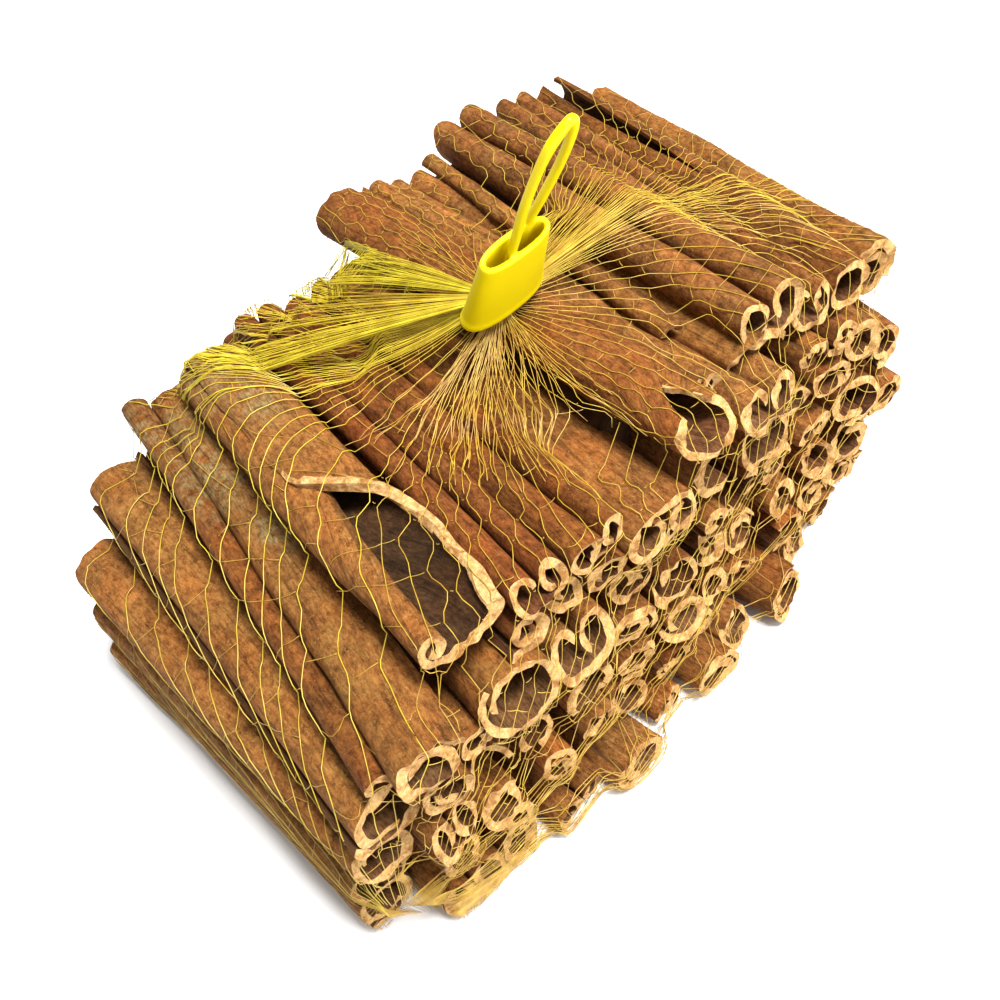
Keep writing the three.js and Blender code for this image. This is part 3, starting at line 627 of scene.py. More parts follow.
    @staticmethod
    def hull_tube(shells, points):
        """The stick's outside with its hollows bridged, closed at both ends: what the net lies on."""
        angle = np.linspace(0, 2 * np.pi, COVER_SIDES, endpoint=False)
        ways = np.stack([np.cos(angle), np.sin(angle)])
        rings = [place[np.argmax(shell @ ways, axis=0)] for shell, place in zip(shells, points)]
        along = unit(rings[-1].mean(axis=0) - rings[0].mean(axis=0))
        return loft([rings[0] - END_ROOM[0] * along] + rings[1:-1] + [rings[-1] + END_ROOM[1] * along])

    def faces(self, ring, stations):
        """Quads between the sections and over the broken ends, and what kind each one is."""
        count = 2 * ring
        torn = np.zeros(stations)
        if self.form == 'scoop':
            fade = (np.linspace(0, 1, stations) - SCOOP_TORN[0]) / (SCOOP_TORN[1] - SCOOP_TORN[0])
            torn = 3.4 - 3.4 * smooth_step(fade)
        elif self.form == 'mouth':
            torn = 1.2 - smooth_step((np.linspace(0, 1, stations) - 0.1) / 0.04)
        pick = random.Random(TORN_SEED + self.number)
        faces, kinds = [], []
        for j in range(stations - 1):
            a = j * count
            columns = torn[j] * pick.uniform(0.75, 1.25)
            for i in range(count):
                k = (i + 1) % count
                faces.append((a + i, a + k, a + count + k, a + count + i))
                kinds.append(TORN if abs(i - ring + 1) < columns else INSIDE if i >= ring else OUTSIDE)
        for start, forward in ((0, False), ((stations - 1) * count, True)):
            for i in range(ring - 1):
                quad = (start + i, start + i + 1, start + count - 2 - i, start + count - 1 - i)
                faces.append(quad if forward else quad[::-1])
                kinds.append(TORN)
        return faces, kinds

    def tones(self, stations, ring):
        """The stick's colour factor at each point (its tone, which is painted shade on the last loose stick),
        darker inside the half-unrolled stick.
        """
        pick = random.Random(TONE_SEED + self.number)
        tone = np.array(TONES[self.tone]) * pick.uniform(0.9, 1.1)
        tone = tone * (1, pick.uniform(0.96, 1.04), pick.uniform(0.94, 1.06))
        inside = tone * (0.34 if self.form == 'scoop' else 1)
        return np.array(([(*tone, 1)] * ring + [(*inside, 1)] * ring) * stations)


def lichen_at(points):
    """How much lichen each point has, from 0 to 1; the patches are longer along the sticks."""
    amount = np.zeros(len(points))
    for middle, radius in LICHEN:
        distance = np.linalg.norm((points - middle) / (1, 1.6, 1), axis=1)
        amount = np.maximum(amount, 1 - smooth_step(distance / radius))
    return amount


def join_sticks(name, group, ring, stations):
    """One piece of several sticks."""
    meshes, kinds, looks = zip(*[stick.build(ring, stations) for stick in group])
    attributes = {key: np.concatenate([look[key] for look in looks]) for key in looks[0]}
    materials = [BARK_OUTER, BARK_INNER, BARK_CUT]
    piece = make_piece(name, joined(meshes), materials, sum(kinds, []), attributes)
    piece.data.set_sharp_from_angle(angle=math.radians(SHARP_EDGE))
    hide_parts("cinnamon_bundle")
    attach(piece, "root")


rim_count = len(RIM_STICKS)
inner_rows = []
for i, row in enumerate(INNER_STICKS):
    turn_and_form = row[7:] or (0, 'roll')
    inner_rows.append((*row[:7], *turn_and_form, 0, INNER_TONES[i % len(INNER_TONES)]))
sticks = [Stick(row, i) for i, row in enumerate(RIM_STICKS + LOOSE_STICKS + inner_rows)]
rim = sticks[:rim_count]
loose = sticks[rim_count:rim_count + len(LOOSE_STICKS)]
inner = sticks[rim_count + len(LOOSE_STICKS):]
# The first twelve of the rim lie on top, in full view, and get the finest meshes.
join_sticks("sticks_top", rim[:12] + loose, 62, 46)
join_sticks("sticks_sides", rim[12:], 58, 36)
join_sticks("sticks_inner", inner, 46, 18)
cover_points, cover_faces = joined([stick.cover for stick in sticks])
sticks_tree = BVHTree.FromPolygons(cover_points.tolist(), cover_faces)


def add_core():
    """A dark core through the middle of the outermost sticks, well behind their ends: painted shade that
    shows in the gaps between them.
    """
    inset, rows, shrink = 14.0, 18, (0, 0, 0.03)
    ends = []
    for face_y, slope, side in ((FRONT_Y + inset, FRONT_SLOPE, 0), (BACK_Y - inset, BACK_SLOPE, 1)):
        ring = []
        for stick in rim:
            y = face_y + slope * (stick.front, stick.back)[side][0]
            t = (y - stick.front[1]) / (stick.back[1] - stick.front[1])
            ring.append(stick.front + t * (stick.back - stick.front))
        ends.append(np.array(ring))
    middle = np.mean(ends[0], axis=0)
    rings = [(1 - q) * ends[0] + q * ends[1] for q in np.linspace(0, 1, rows)]
    points, faces = loft([ring + (middle - ring) * shrink for ring in rings])
    faces = [face[::-1] for face in faces]
    core = make_piece("sticks_core", (points, faces), [BARK_SHADOW])
    core.data.polygons.foreach_set("use_smooth", [False] * len(faces))
    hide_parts("cinnamon_bundle")
    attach(core, "root")


add_core()

# ---- the clip ----
CLIP_BASE = (-2.0, -8.0, 66.9)  # the middle of the sleeve's foot
CLIP_LEAN, CLIP_TURN = 0.44, 0.06  # radians: toward -Y, and its flat side off the X axis
SLEEVE_HEIGHT = 13.5
SLEEVE_FOOT = (15.0, 5.4)  # across and deep
SLEEVE_MOUTH = (12.2, 3.4)
SLEEVE_WALL = 0.8
MOUTH_RISE = 1.2  # how far the mouth's back stands higher than its front
STRAP = (1.2, 1.1)  # across and deep
STRAP_POINTS = 110
# The loop's middle line from the back of the mouth over its tip and down into the sleeve.
STRAP_ROUTE = [
    (3.2, 1.2, 10), (3.4, 1.1, 14.5), (3.9, 0.6, 18.5), (5, 0.2, 24), (5.5, 0, 28.5), (5.4, 0, 31.4),
    (4.5, 0, 32.5), (3.1, 0, 31.4), (1.9, 0, 29.8), (0.8, 0, 26.6), (-0.3, -0.1, 21), (-0.8, -0.3, 15.5),
    (-1.4, -0.4, 4),
]
CLIP_VOXEL = 0.2  # detail of the fused form

clip_axis = unit((0, -math.tan(CLIP_LEAN), 1))
clip_width = np.array([math.cos(CLIP_TURN), math.sin(CLIP_TURN), 0])
clip_width = unit(clip_width - clip_axis * clip_axis.dot(clip_width))
clip_depth = np.cross(clip_axis, clip_width)


def clip_points(uvw):
    """Points given across, deep and up from the middle of the sleeve's foot."""
    return np.asarray(CLIP_BASE) + np.asarray(uvw, float) @ np.array([clip_width, clip_depth, clip_axis])


def boxy_ring(size, count, power):
    """Across and deep of a ring, between an ellipse at power 1 and a box near 0."""
    angle = np.linspace(0, 2 * math.pi, count, endpoint=False)
    c, s = np.cos(angle), np.sin(angle)
    return 0.5 * size[0] * np.sign(c) * np.abs(c) ** power, 0.5 * size[1] * np.sign(s) * np.abs(s) ** power


def sleeve_ring(size, height, rise=0.0):
    """A ring of the sleeve, its back higher than its front by rise."""
    u, v = boxy_ring(size, 64, 0.8)
    return clip_points(np.stack([u, v, height + rise * v / size[1]], 1))


def spline(points, count):
    """A smooth curve through the given points, as count evenly spaced ones."""
    p = np.asarray(points, float)
    p = np.concatenate([[2 * p[0] - p[1]], p, [2 * p[-1] - p[-2]]])
    t = np.linspace(0, 1, 24, endpoint=False)[:, None]
    out = []
    for a, b, c, d in zip(p, p[1:], p[2:], p[3:]):
        square, cube = 2 * a - 5 * b + 4 * c - d, 3 * b - a - 3 * c + d
        out.append(0.5 * (2 * b + (c - a) * t + square * t ** 2 + cube * t ** 3))
    return evenly(np.concatenate(out + [p[-2:-1]]), count)


def build_clip():
    """The moulded clip: sleeve and loop made as closed forms, then fused and rounded."""
    wall = 2 * SLEEVE_WALL
    sleeve = []
    for inset, height in ((1.5, 0.0), (0.6, 0.12), (0.12, 0.5), (0.0, 1.0)):
        sleeve.append(sleeve_ring([size - inset for size in SLEEVE_FOOT], height))
    for q in np.linspace(0.15, 0.97, 8):
        size = [foot + (mouth - foot) * q ** 0.8 for foot, mouth in zip(SLEEVE_FOOT, SLEEVE_MOUTH)]
        sleeve.append(sleeve_ring(size, q * SLEEVE_HEIGHT, MOUTH_RISE * q))
    sleeve.append(sleeve_ring([size - 0.35 for size in SLEEVE_MOUTH], SLEEVE_HEIGHT, MOUTH_RISE))
    sleeve.append(sleeve_ring([size - wall for size in SLEEVE_MOUTH], SLEEVE_HEIGHT - 0.15, MOUTH_RISE))
    sleeve.append(sleeve_ring([size - wall for size in SLEEVE_MOUTH], 3.0))
    route = spline([clip_points(p) for p in STRAP_ROUTE], STRAP_POINTS)
    tangent = unit(np.gradient(route, axis=0))
    side = unit(np.cross(tangent, clip_depth))
    rings = []
    for i, middle in enumerate(route):
        q = i / (len(route) - 1)
        grow = 1.12 + 0.5 * math.exp(-((q - 0.49) / 0.045) ** 2) + 0.5 * math.exp(-(q / 0.06) ** 2)
        across, deep = boxy_ring((STRAP[0] * grow, STRAP[1] * 1.12), 12, 0.7)
        rings.append(middle + across[:, None] * side[i] + deep[:, None] * clip_depth)
    clip = make_piece("clip", joined([loft(sleeve), loft(rings)]), [CLIP_YELLOW])
    fuse = clip.modifiers.new("fuse", 'REMESH')
    fuse.mode = 'VOXEL'
    fuse.voxel_size = CLIP_VOXEL * MM
    fuse.use_smooth_shade = True
    soften = clip.modifiers.new("soften", 'SMOOTH')
    soften.factor = 0.5
    soften.iterations = 4
    apply_modifiers(clip)
    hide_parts("net_clip")
    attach(clip, "root")


def apply_modifiers(piece):
    """The mesh that the modifiers make becomes the piece's own."""
    shown = piece.evaluated_get(bpy.context.evaluated_depsgraph_get())
    mesh = bpy.data.meshes.new_from_object(shown)
    piece.modifiers.clear()
    piece.data = mesh
    mesh.polygons.foreach_set("use_smooth", [True] * len(mesh.polygons))


# ---- the net ----
ROUNDS = 60  # of pulling the net tight
PULL_ALONG, PULL_ACROSS = 1.0, 0.45  # a knot's neighbours on its own strand, and on the next ones
STEP_INWARD, STEP_STRAIGHT = 0.7, 0.3  # shares of the way that a knot moves in each round
ROW = 2.8  # distance between knots along a strand
LIFT = 0.16  # a strand's middle line over the bark
# The strands run from the clip's foot over the sticks to a second gathering at the lower left
# corner of the front. Guides: the points that a strand passes, and the strands up to the next.
GUIDES = [
    (9, [(9, -4, 63), (28, -7, 64), (37, -5, 61), (45, -13, 61), (54, -19, 56), (56, -29, 55),
     (55, -38, 51), (51, -39, 40), (44, -39, 28), (30, -40, 15), (10, -42, 6), (-20, -44, 2), (-42, -44, 3),
     (-55, -44, 7)]),
    (6, [(7, -7, 63), (20, -8, 61), (28, -15, 65), (31, -24, 65), (33, -36, 64), (30, -39, 52),
     (24, -40, 38), (12, -41, 22), (-6, -42, 9), (-28, -44, 4), (-46, -44, 5), (-57, -44, 10)]),
    (6, [(5, -14, 64), (12, -20, 61), (18, -30, 63), (19, -38, 62), (15, -41, 48), (8, -41, 34),
     (-4, -42, 20), (-20, -43, 9), (-42, -44, 8), (-58, -44, 12)]),
    (10, [(0, -14, 62), (-2, -19, 61), (0, -29, 63), (4, -38, 63), (3, -42, 52), (-3, -42, 38),
     (-13, -43, 25), (-28, -44, 14), (-46, -45, 12), (-59, -44, 14)]),
    (11, [(-7, -11, 56), (-11, -16, 58), (-16, -24, 59), (-20, -34, 59), (-23, -42, 56), (-24, -43, 46),
     (-29, -43, 36), (-38, -44, 28), (-50, -45, 23), (-60, -44, 16)]),
    (2, [(-12, -7, 57), (-24, -11, 58), (-34, -14, 55), (-41, -21, 51), (-46, -32, 51), (-50, -42, 50),
     (-54, -47, 44), (-58, -47, 32), (-61, -44, 18)]),
    (3, [(-13, -4, 58), (-26, -1, 58), (-35, 1, 54), (-43, -9, 51), (-50, -21, 50), (-57, -33, 44),
     (-62, -41, 29), (-62, -43, 18)]),
    (3, [(-14, -2, 58), (-29, 6, 56), (-39, 8, 52), (-47, -3, 51), (-53, -11, 47), (-59, -22, 42),
     (-64, -34, 30), (-63, -42, 19)]),
    (3, [(-14, -1, 58), (-28, 8, 56), (-38, 19, 53), (-48, 22, 50), (-56, 8, 44), (-61, -5, 41),
     (-65, -16, 31), (-65, -31, 26), (-63, -42, 18)]),
    (4, [(-8, -1, 60), (-17, 1, 59), (-29, 7, 57), (-41, 21, 52), (-50, 30, 48), (-57, 26, 45),
     (-62, 17, 42), (-66, 6, 32), (-68, -7, 25), (-67, -21, 21), (-66, -34, 19), (-63, -43, 17)]),
    (11, [(-7, 0, 60), (-16, 3, 60), (-28, 10, 59), (-40, 24, 56), (-42, 34, 50), (-44, 41, 40),
     (-52, 43, 28), (-64, 38, 20), (-70, 28, 17), (-70, 8, 15), (-69, -12, 15), (-66, -32, 15),
     (-63, -43, 15)]),
    (10, [(-6.5, 1, 60), (-16, 8, 60), (-26, 17, 60), (-33, 26, 59), (-37, 35, 50), (-42, 42, 38),
     (-54, 42, 22), (-67, 36, 12), (-71, 12, 6), (-68, -10, 5), (-65, -32, 7), (-61, -43, 12)]),
    (4, [(-6, 2, 60), (-12, 12, 60), (-18, 23, 59), (-25, 32, 57), (-30, 37, 48), (-43, 39, 26),
     (-60, 36, 5), (-65, 15, 0.3), (-63, -10, 0.3), (-61, -34, 1), (-59, -43, 9)]),
    (14, [(-5, 1.5, 60), (-10, 10, 60), (-14, 20, 59), (-14.5, 31, 58), (-17, 38, 50), (-30, 41, 26),
     (-50, 38, 3), (-56, 15, 0.3), (-57, -12, 0.3), (-58, -34, 1), (-57, -43, 7)]),
    (6, [(-2, 3, 62), (-2.3, 12, 61), (-2.5, 21, 61), (-4, 30, 60), (-5, 38, 56), (-12, 42, 25),
     (-28, 38, 2), (-42, 12, 0.3), (-50, -14, 0.3), (-55, -36, 1), (-56, -43, 6)]),
    (6, [(1, 2, 64), (6, 14, 63), (9, 28, 62), (11, 39, 61), (14, 43, 45), (10, 43, 22), (-2, 39, 1),
     (-22, 12, 0.3), (-38, -14, 0.3), (-50, -38, 1), (-55, -43, 6)]),
    (7, [(5, 0, 64), (18, 8, 62), (28, 22, 62), (33, 38, 60), (36, 44, 45), (33, 44, 22), (22, 39, 1),
     (0, 12, 0.3), (-25, -15, 0.3), (-45, -40, 1), (-55, -44, 5)]),
    (7, [(7, -1, 64), (20, 2, 62), (36, 8, 62), (50, 24, 60), (58, 40, 54), (63, 45, 40), (60, 44, 18),
     (48, 39, 1), (20, 12, 0.3), (-15, -18, 0.3), (-40, -42, 1), (-55, -44, 5)]),
    (6, [(8, -2, 64), (22, -2, 63), (38, 0, 62), (52, 5, 60), (62, 14, 53), (65, 16, 40), (61, 14, 22),
     (56, 8, 5), (35, -2, 0.3), (0, -25, 0.3), (-32, -42, 1), (-55, -44, 5)]),
    (6, [(9, -3, 63), (26, -4, 63), (38, -3, 62), (48, -6, 60), (58, -4, 55), (61, -8, 42), (58, -14, 24),
     (53, -20, 5), (30, -22, 0.3), (-5, -36, 0.3), (-34, -43, 2), (-55, -44, 6)]),
]
NECK = (10.0, 3.0)  # the net where it comes out of the clip, across and deep
GUIDE_POINTS = 160
# The bundle as a rounded box, which only tells which way is out.
ROUND_MIDDLE = np.array([-1.0, 0.0, 31.0])
ROUND_HALF = np.array([70.0, 45.0, 32.0])
ROUNDNESS = 7
# By guide, where it isn't the usual: how far knots are drawn together near the clip, how lemon the
# yarn is there, how lemon further down, and how much thicker it gets on the way.
DRAWN = {0: 0.3, 1: 0.12, 2: 0.12, 3: 0.36, 4: 0.36, 5: 0.06, 6: 0.04, 7: 0.04, 8: 0.04, 9: 0.06,
         10: 0.46, 11: 0.46, 12: 0.46, 13: 0.46}
SHINE = {0: 0.4, 4: 0.15, 5: 0.6, 6: 0.6, 7: 0.6, 8: 0.6, 9: 0.6, 10: 0.85, 11: 0.85, 12: 0.85,
         13: 0.85, 19: 0.4}
FAR_SHINE = dict.fromkeys(range(5, 10), 0.4)
BOLD = {5: 0.025, 6: 0.03, 7: 0.03, 8: 0.03, 9: 0.025}
USUAL_DRAWN, USUAL_SHINE, USUAL_FAR_SHINE, USUAL_BOLD = 0.28, 0.3, 0.05, 0.008
ALWAYS_DRAWN = 0.07  # of the gap between two knots, also far from the clip
DRAWN_UP_TO, DRAWN_FADE = 52, 26  # DRAWN holds this far from the clip, and fades over this much more
SMALLEST_RADIUS, LINK_RADIUS, FLAP_RADIUS = 0.052, 0.055, 0.06
LINK_SHINE, LINK_SAG = 0.1, 0.15
LONGEST_GAP = 12  # between knots that a link still joins
NET_BOTTOM = 0.02  # the lowest strands over the floor
FOLD_SEED = 4711
FOLD_POINTS, FLAP_POINTS = 30, 40
# How far the net may stand off the sticks, and off their back ends, beyond HUG_FROM from the clip.
HUG, HUG_BEHIND, HUG_FROM = 0.55, 0.2, 30
BEHIND_Y = 37  # the back ends lie beyond this


def outward(points):
    """Unit vectors away from the bundle."""
    q = (points - ROUND_MIDDLE) / ROUND_HALF
    return unit(np.sign(q) * np.abs(q) ** (ROUNDNESS - 1) / ROUND_HALF)


def push_out(points, normals, lift, reach):
    """Points moved out along their normals until they lie over the sticks."""
    moved = points.copy()
    for i, (p, n) in enumerate(zip(points, normals)):
        start = p + n * reach
        place, _, _, distance = sticks_tree.ray_cast(start, -n, reach + lift)
        if place is not None:
            moved[i] = start + n * (lift - distance)
    return moved


def neck_point(target, height, size=1.0):
    """The point of the clip's foot that a strand towards target leaves from."""
    way = np.asarray(target) - clip_points((0, 0, height))
    angle = math.atan2(way.dot(clip_depth) / NECK[1], way.dot(clip_width) / NECK[0])
    half_width, half_depth = 0.5 * size * NECK[0], 0.5 * size * NECK[1]
    return clip_points((half_width * math.cos(angle), half_depth * math.sin(angle), height))


def guide_curves():
    """Every strand from the clip to the far gathering, as curves of GUIDE_POINTS points."""
    curves = []
    for _, route in GUIDES:
        start = [neck_point(route[1], 4.0, 0.6), neck_point(route[1], -0.3)]
        curves.append(spline(start + route, GUIDE_POINTS))
    out = []
    for (count, _), curve, following in zip(GUIDES, curves, curves[1:] + curves[:1]):
        out += [(1 - i / count) * curve + i / count * following for i in range(count)]
    return out


def along_normals(vectors, normals):
    """The part of each vector that lies along its normal."""
    return normals * np.sum(vectors * normals, 1, keepdims=True)


def relaxed_grid(curves):
    """Knots [strand, row], pulled tight over the sticks, and which of them there are.

    They move only in and out and not sideways, so that the mesh keeps its place.
    """
    lines = [evenly(curve, max(4, int(round(run_along(curve)[-1] / ROW)) + 1)) for curve in curves]
    shape = (len(lines), max(len(line) for line in lines))
    place, known, free = np.zeros((*shape, 3)), np.zeros(shape, bool), np.zeros(shape, bool)
    for i, line in enumerate(lines):
        place[i, :len(line)] = line
        known[i, :len(line)] = True
        free[i, 3:len(line) - 2] = True
    place[free] = push_out(place[free], outward(place[free]), LIFT, 30.0)
    weight = known.astype(float)[:, :, None]
    for turn in range(ROUNDS):
        total = np.zeros_like(place)
        share = np.zeros_like(weight)
        for axis, pull in ((1, PULL_ALONG), (0, PULL_ACROSS)):
            for by in (1, -1):
                total += pull * np.roll(place * weight, by, axis)
                share += pull * np.roll(weight, by, axis)
        points = place[free]
        normals = outward(points)
        inward = along_normals((total / np.maximum(share, 1e-6))[free] - points, normals)
        smooth = (0.5 * (np.roll(place, 1, 1) + np.roll(place, -1, 1)))[free] - points
        straight = smooth - along_normals(smooth, normals)
        moved = points + STEP_INWARD * inward + STEP_STRAIGHT * straight
        if turn % 3 == 2 or turn > ROUNDS - 4:
            moved = push_out(moved, outward(moved), LIFT, 8.0)
        place[free] = moved
    free[:, :int(HUG_FROM / ROW)] = False
    place[free] = pulled_in(place[free])
    return place, known


def pulled_in(points):
    """Points that stand too far off the sticks, brought in."""
    moved = points.copy()
    for i, p in enumerate(points):
        place, _, _, distance = sticks_tree.find_nearest(p)
        room = HUG_BEHIND if p[1] > BEHIND_Y else HUG
        if distance > room:
            moved[i] = p + (np.array(place) - p) * (1 - room / distance)
    return moved


def tube(line, normals, radii, sides):
    """Points and faces of a tube along a line."""
    tangent = unit(np.gradient(line, axis=0))
    side = unit(np.cross(tangent, normals))
    up = np.cross(side, tangent)
    angle = 2 * math.pi * np.arange(sides) / sides
    ring = np.cos(angle)[:, None, None] * side + np.sin(angle)[:, None, None] * up
    return loft((line + ring * radii[:, None]).transpose(1, 0, 2))


def add_net_piece(name, yarns, sides, replaces=None):
    """Tubes along yarns of (line, normals, radii, how lemon)."""
    points, faces = joined([tube(*yarn[:3], sides) for yarn in yarns])
    points[:, 2] = np.maximum(points[:, 2], NET_BOTTOM)
    # How lemon each point is: partly thick yarn, partly painted shine.
    amount = np.concatenate([np.repeat(yarn[3], sides) for yarn in yarns])
    piece = make_piece(name, (points, faces), [YARN], attributes={"thick": amount})
    if replaces:
        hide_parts(replaces)
    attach(piece, "root")


def even_yarn(line, normals, radius, shine):
    """A yarn that is the same all along."""
    return line, normals, np.full(len(line), radius), np.full(len(line), shine)


def per_strand(by_guide, usual):
    """The guides' values, or the usual one, for each of their strands."""
    return np.repeat([by_guide.get(g, usual) for g in range(len(GUIDES))], [count for count, _ in GUIDES])


def tied_knots(place, known):
    """Knots drawn towards the neighbour strand's nearest one, and the pairs that a link joins."""
    knots, pairs = place.copy(), []
    near = per_strand(DRAWN, USUAL_DRAWN)
    counts = known.sum(axis=1)
    for i in range(len(place)):
        j = (i + 1) % len(place)
        for k in range(2 + i % 2, counts[i] - 1, 2):
            way = place[j, :counts[j]] - place[i, k]
            gap = np.linalg.norm(way, axis=1)
            m = int(np.argmin(gap))
            if m < 2 or gap[m] > LONGEST_GAP:
                continue
            fade = 1 - smooth_step((k * ROW - DRAWN_UP_TO) / DRAWN_FADE)
            pull = (near[i] * fade + ALWAYS_DRAWN) * way[m]
            knots[i, k] += pull
            knots[j, m] -= pull
            pairs.append((i, k, j, m))
    return knots, pairs


def main_yarn(knots, shine, far, bold):
    """The yarn of one strand over its knots, two points for each."""
    line = spline(knots, 2 * len(knots) - 1)
    normals = outward(line)
    line[6:] = push_out(line[6:], normals[6:], LIFT, 6.0)
    line[7:-1] = 0.5 * line[7:-1] + 0.25 * (line[6:-2] + line[8:])
    hug_row = int(2 * HUG_FROM / ROW)
    line[hug_row:-4] = pulled_in(line[hug_row:-4])
    line[6:] = push_out(line[6:], normals[6:], LIFT, 5.0)
    distance = np.arange(len(line)) * ROW / 2
    radius = SMALLEST_RADIUS + bold * smooth_step((distance - 15) / 40)
    radius = radius * (1 - 0.3 * smooth_step((distance - distance[-1] + 22) / 16))
    return line, normals, radius, shine + (far - shine) * smooth_step((distance - 50) / 36)


def link_yarn(a, b):
    """A link between two knots, bowed downhill."""
    q = np.linspace(0, 1, 4 if np.linalg.norm(a - b) < 5 else 7)[:, None]
    line = a + (b - a) * q - np.array([0, 0, LINK_SAG]) * (4 * q * (1 - q))
    normals = outward(line)
    return even_yarn(push_out(line, normals, LIFT, 6.0), normals, LINK_RADIUS, LINK_SHINE)


def build_net():
    """The net's four pieces: two halves of the strands, the links between them, and the folds."""
    place, known = relaxed_grid(guide_curves())
    knots, pairs = tied_knots(place, known)
    shine, far = per_strand(SHINE, USUAL_SHINE), per_strand(FAR_SHINE, USUAL_FAR_SHINE)
    looks = zip(shine, far, per_strand(BOLD, USUAL_BOLD))
    yarns = [main_yarn(line[there], *look) for line, there, look in zip(knots, known, looks)]
    half = len(yarns) // 2
    add_net_piece("net_strands_front", yarns[:half], 4, "net_gather")
    add_net_piece("net_strands_back", yarns[half:], 4)
    links = []
    for i, k, j, m in pairs:
        a, b = knots[i, k], knots[j, m]
        _, _, _, off = sticks_tree.find_nearest(0.5 * (a + b))
        if k * ROW <= HUG_FROM or off <= 2 * HUG:
            links.append(link_yarn(a, b))
    add_net_piece("net_links", links, 3)
    pick = random.Random(FOLD_SEED)
    add_net_piece("net_folds", fold_yarns(place, known, pick) + flap_yarns(pick), 4)


def on_grid(place, known, strand, distance):
    """A point of the relaxed net at a fractional strand number and distance from the clip."""
    first = math.floor(strand)
    out = []
    for s in (first % len(place), (first + 1) % len(place)):
        line = place[s][known[s]]
        at = min(distance / ROW, len(line) - 1)
        k = min(int(at), len(line) - 2)
        out.append(line[k] * (1 - (at - k)) + line[k + 1] * (at - k))
    return out[0] * (1 - (strand - first)) + out[1] * (strand - first)


# Folds, where the net lies in several layers: first and last guide, strands, how far they run,
# how high the layers stand over the sticks, how far they slant, how lemon they are, their radius.
FOLDS = [
    (8.0, 9.9, 8, 26, 0.6, 0.3, 0.6, 0.06), (3.2, 5.6, 60, 34, 0.5, 0.25, 0.0, 0.05),
    (19.0, 20.6, 22, 66, 0.8, 0.4, 0.3, 0.055), (14.0, 19.0, 26, 34, 0.4, 0.15, 0.2, 0.05),
]


def fold_yarns(place, known, pick):
    """Strands that wander over the net where it lies in several layers."""
    starts = np.cumsum([0] + [count for count, _ in GUIDES + GUIDES[:1]])
    q = np.linspace(0, 1, FOLD_POINTS)
    yarns = []
    for first, last, count, reach, height, slant, bright, radius in FOLDS:
        low, high = np.interp((first, last), np.arange(len(starts)), starts)
        for _ in range(count):
            a = pick.uniform(low, high)
            b = np.clip(a + pick.uniform(-slant, slant) * (high - low), low, high)
            distance = np.linspace(0.6, reach * pick.uniform(0.8, 1.15), FOLD_POINTS)
            strands = a + (b - a) * smooth_step(q)
            line = np.array([on_grid(place, known, s, d) for s, d in zip(strands, distance)])
            normals = outward(line)
            rise = pick.uniform(0, 1) * height * np.sin(np.pi * q ** 0.7)
            line = line + normals * rise[:, None]
            line[3:] = push_out(line[3:], normals[3:], LIFT, 4.0)
            yarns.append(even_yarn(line, normals, radius, bright * pick.uniform(0.75, 1)))
    return yarns


# Flaps that lie in several layers from the clip to the back edge: the two corners of the far end,
# strands, how high they stand, how lemon they are.
FLAPS = [
    ((-40.5, 25, 55.5), (-36, 30, 56), 26, 1.0, 0.9), ((-38, 28, 56), (-30, 33, 57), 24, 1.2, 0.75),
    ((-32, 32, 57), (-18, 34, 58), 20, 1.0, 0.5), ((-16, 32, 58), (-5, 30, 61), 60, 2.2, 1.0),
]


def flap_yarns(pick):
    """Strands that cross at shallow angles on their way to the back edge, then hang over it."""
    yarns = []
    for first, last, count, height, bright in FLAPS:
        first, last = np.array(first), np.array(last)
        for n in range(count):
            a = pick.random()
            b = np.clip(a + (0.12 + 0.45 * pick.random()) * (1 if n % 2 else -1), 0, 1)
            target = first + (last - first) * b
            start = neck_point(first + (last - first) * a, 0.3)
            rise = height * pick.random()
            middle = 0.45 * start + 0.55 * (first + (last - first) * (0.6 * a + 0.4 * b)) + (0, 0, rise)
            over = [target + (-0.1, 1.0, -0.5), target + (-0.2, 1.4, -2.0), target + (-0.4, 1.5, -4.0)]
            line = spline([start, middle, target + (0, 0, 0.4 * rise)] + over, FLAP_POINTS)
            line[27:] = pulled_in(line[27:])
            normals = outward(line)
            line[3:] = push_out(line[3:], normals[3:], LIFT + 0.3 * rise, 4.0)
            yarns.append(even_yarn(line, normals, FLAP_RADIUS, bright * pick.uniform(0.7, 1)))
    return yarns


build_clip()
build_net()


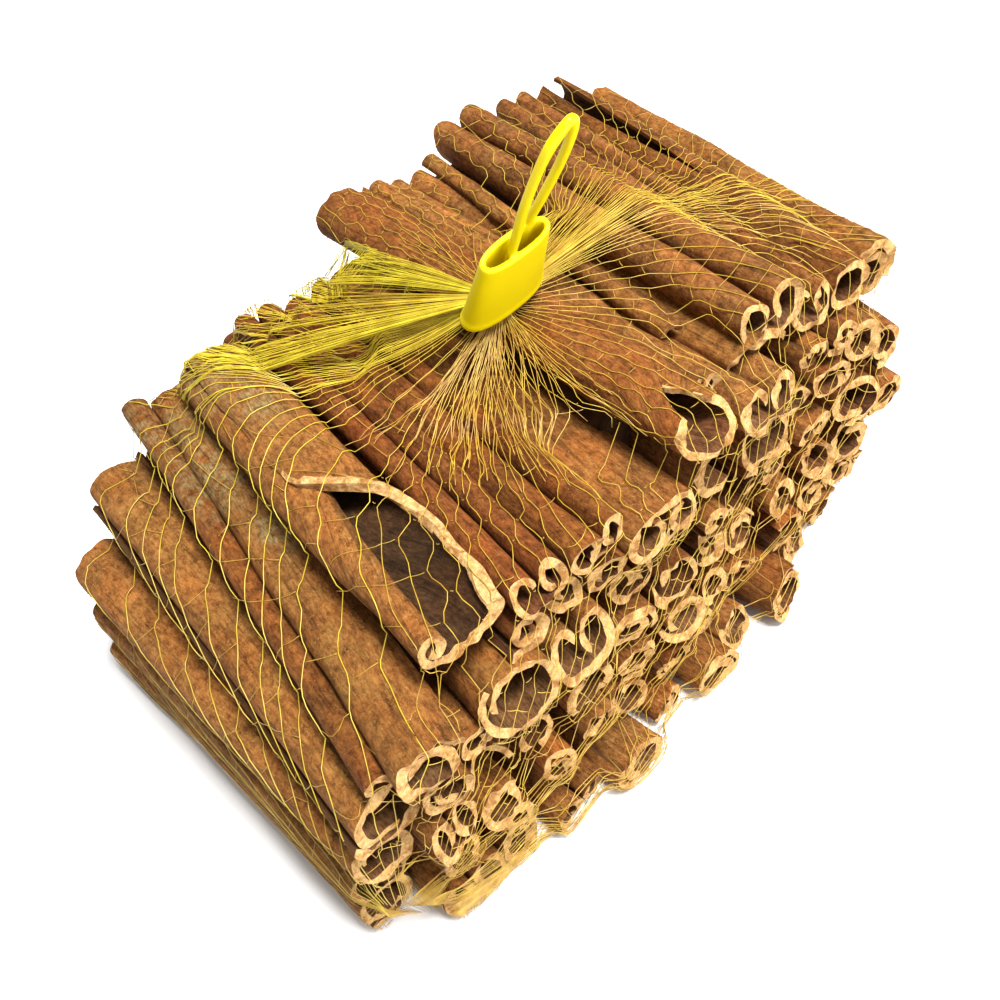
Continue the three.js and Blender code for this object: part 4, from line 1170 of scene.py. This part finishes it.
# ---- stage, light and camera ----
FLOOR_HALF = 3.0  # metres, like the places and sizes of the lights
LIGHT_TARGET = (0, 0, 0.03)


def add_stage():
    """The floor, which isn't part of the object."""
    mesh = bpy.data.meshes.new("floor")
    corners = [(-1, -1), (1, -1), (1, 1), (-1, 1)]
    mesh.from_pydata([(x * FLOOR_HALF, y * FLOOR_HALF, 0) for x, y in corners], [], [(0, 1, 2, 3)])
    mesh.materials.append(floor_material())
    floor = show("floor", mesh)


def add_light(name, place, size, power):
    """A square light that shines at the bundle."""
    light = bpy.data.lights.new(name, 'AREA')
    light.energy = power
    light.size = size
    lamp = show(name, light)
    lamp.location = place
    lamp.rotation_euler = (Vector(LIGHT_TARGET) - Vector(place)).to_track_quat('-Z', 'Y').to_euler()


def add_world(strength):
    """Soft light from all round."""
    world = bpy.data.worlds.new("soft_sky")
    world.use_nodes = True
    background = world.node_tree.nodes["Background"]
    background.inputs["Color"].default_value = (1, 0.99, 0.97, 1)
    background.inputs["Strength"].default_value = strength
    bpy.context.scene.world = world


def add_camera():
    """The camera that took the photo, tilted as it was."""
    az, el, roll = (math.radians(a) for a in (CAMERA_AZIMUTH, CAMERA_ELEVATION, CAMERA_ROLL))
    back = Vector((math.sin(az) * math.cos(el), -math.cos(az) * math.cos(el), math.sin(el)))
    right = Vector((math.cos(az), math.sin(az), 0))
    up = back.cross(right)
    level_right = math.cos(roll) * right + math.sin(roll) * up
    level_up = -math.sin(roll) * right + math.cos(roll) * up
    turn = Matrix((level_right, level_up, back)).transposed()
    data = bpy.data.cameras.new("camera")
    data.lens = LENS
    data.sensor_width = SENSOR
    data.clip_start = 0.005
    camera = show("camera", data)
    place = (Vector(CAMERA_PLACE) + Vector(SHIFT)) * MM
    camera.matrix_world = Matrix.Translation(place) @ turn.to_4x4()
    bpy.context.scene.camera = camera


add_stage()
add_light("key", (0.06, -0.2, 0.6), 0.18, 9.0)
add_light("fill", (0.3, -0.5, 0.22), 0.5, 2.9)
add_world(0.5)
add_camera()
bpy.context.scene.view_settings.view_transform = 'Standard'
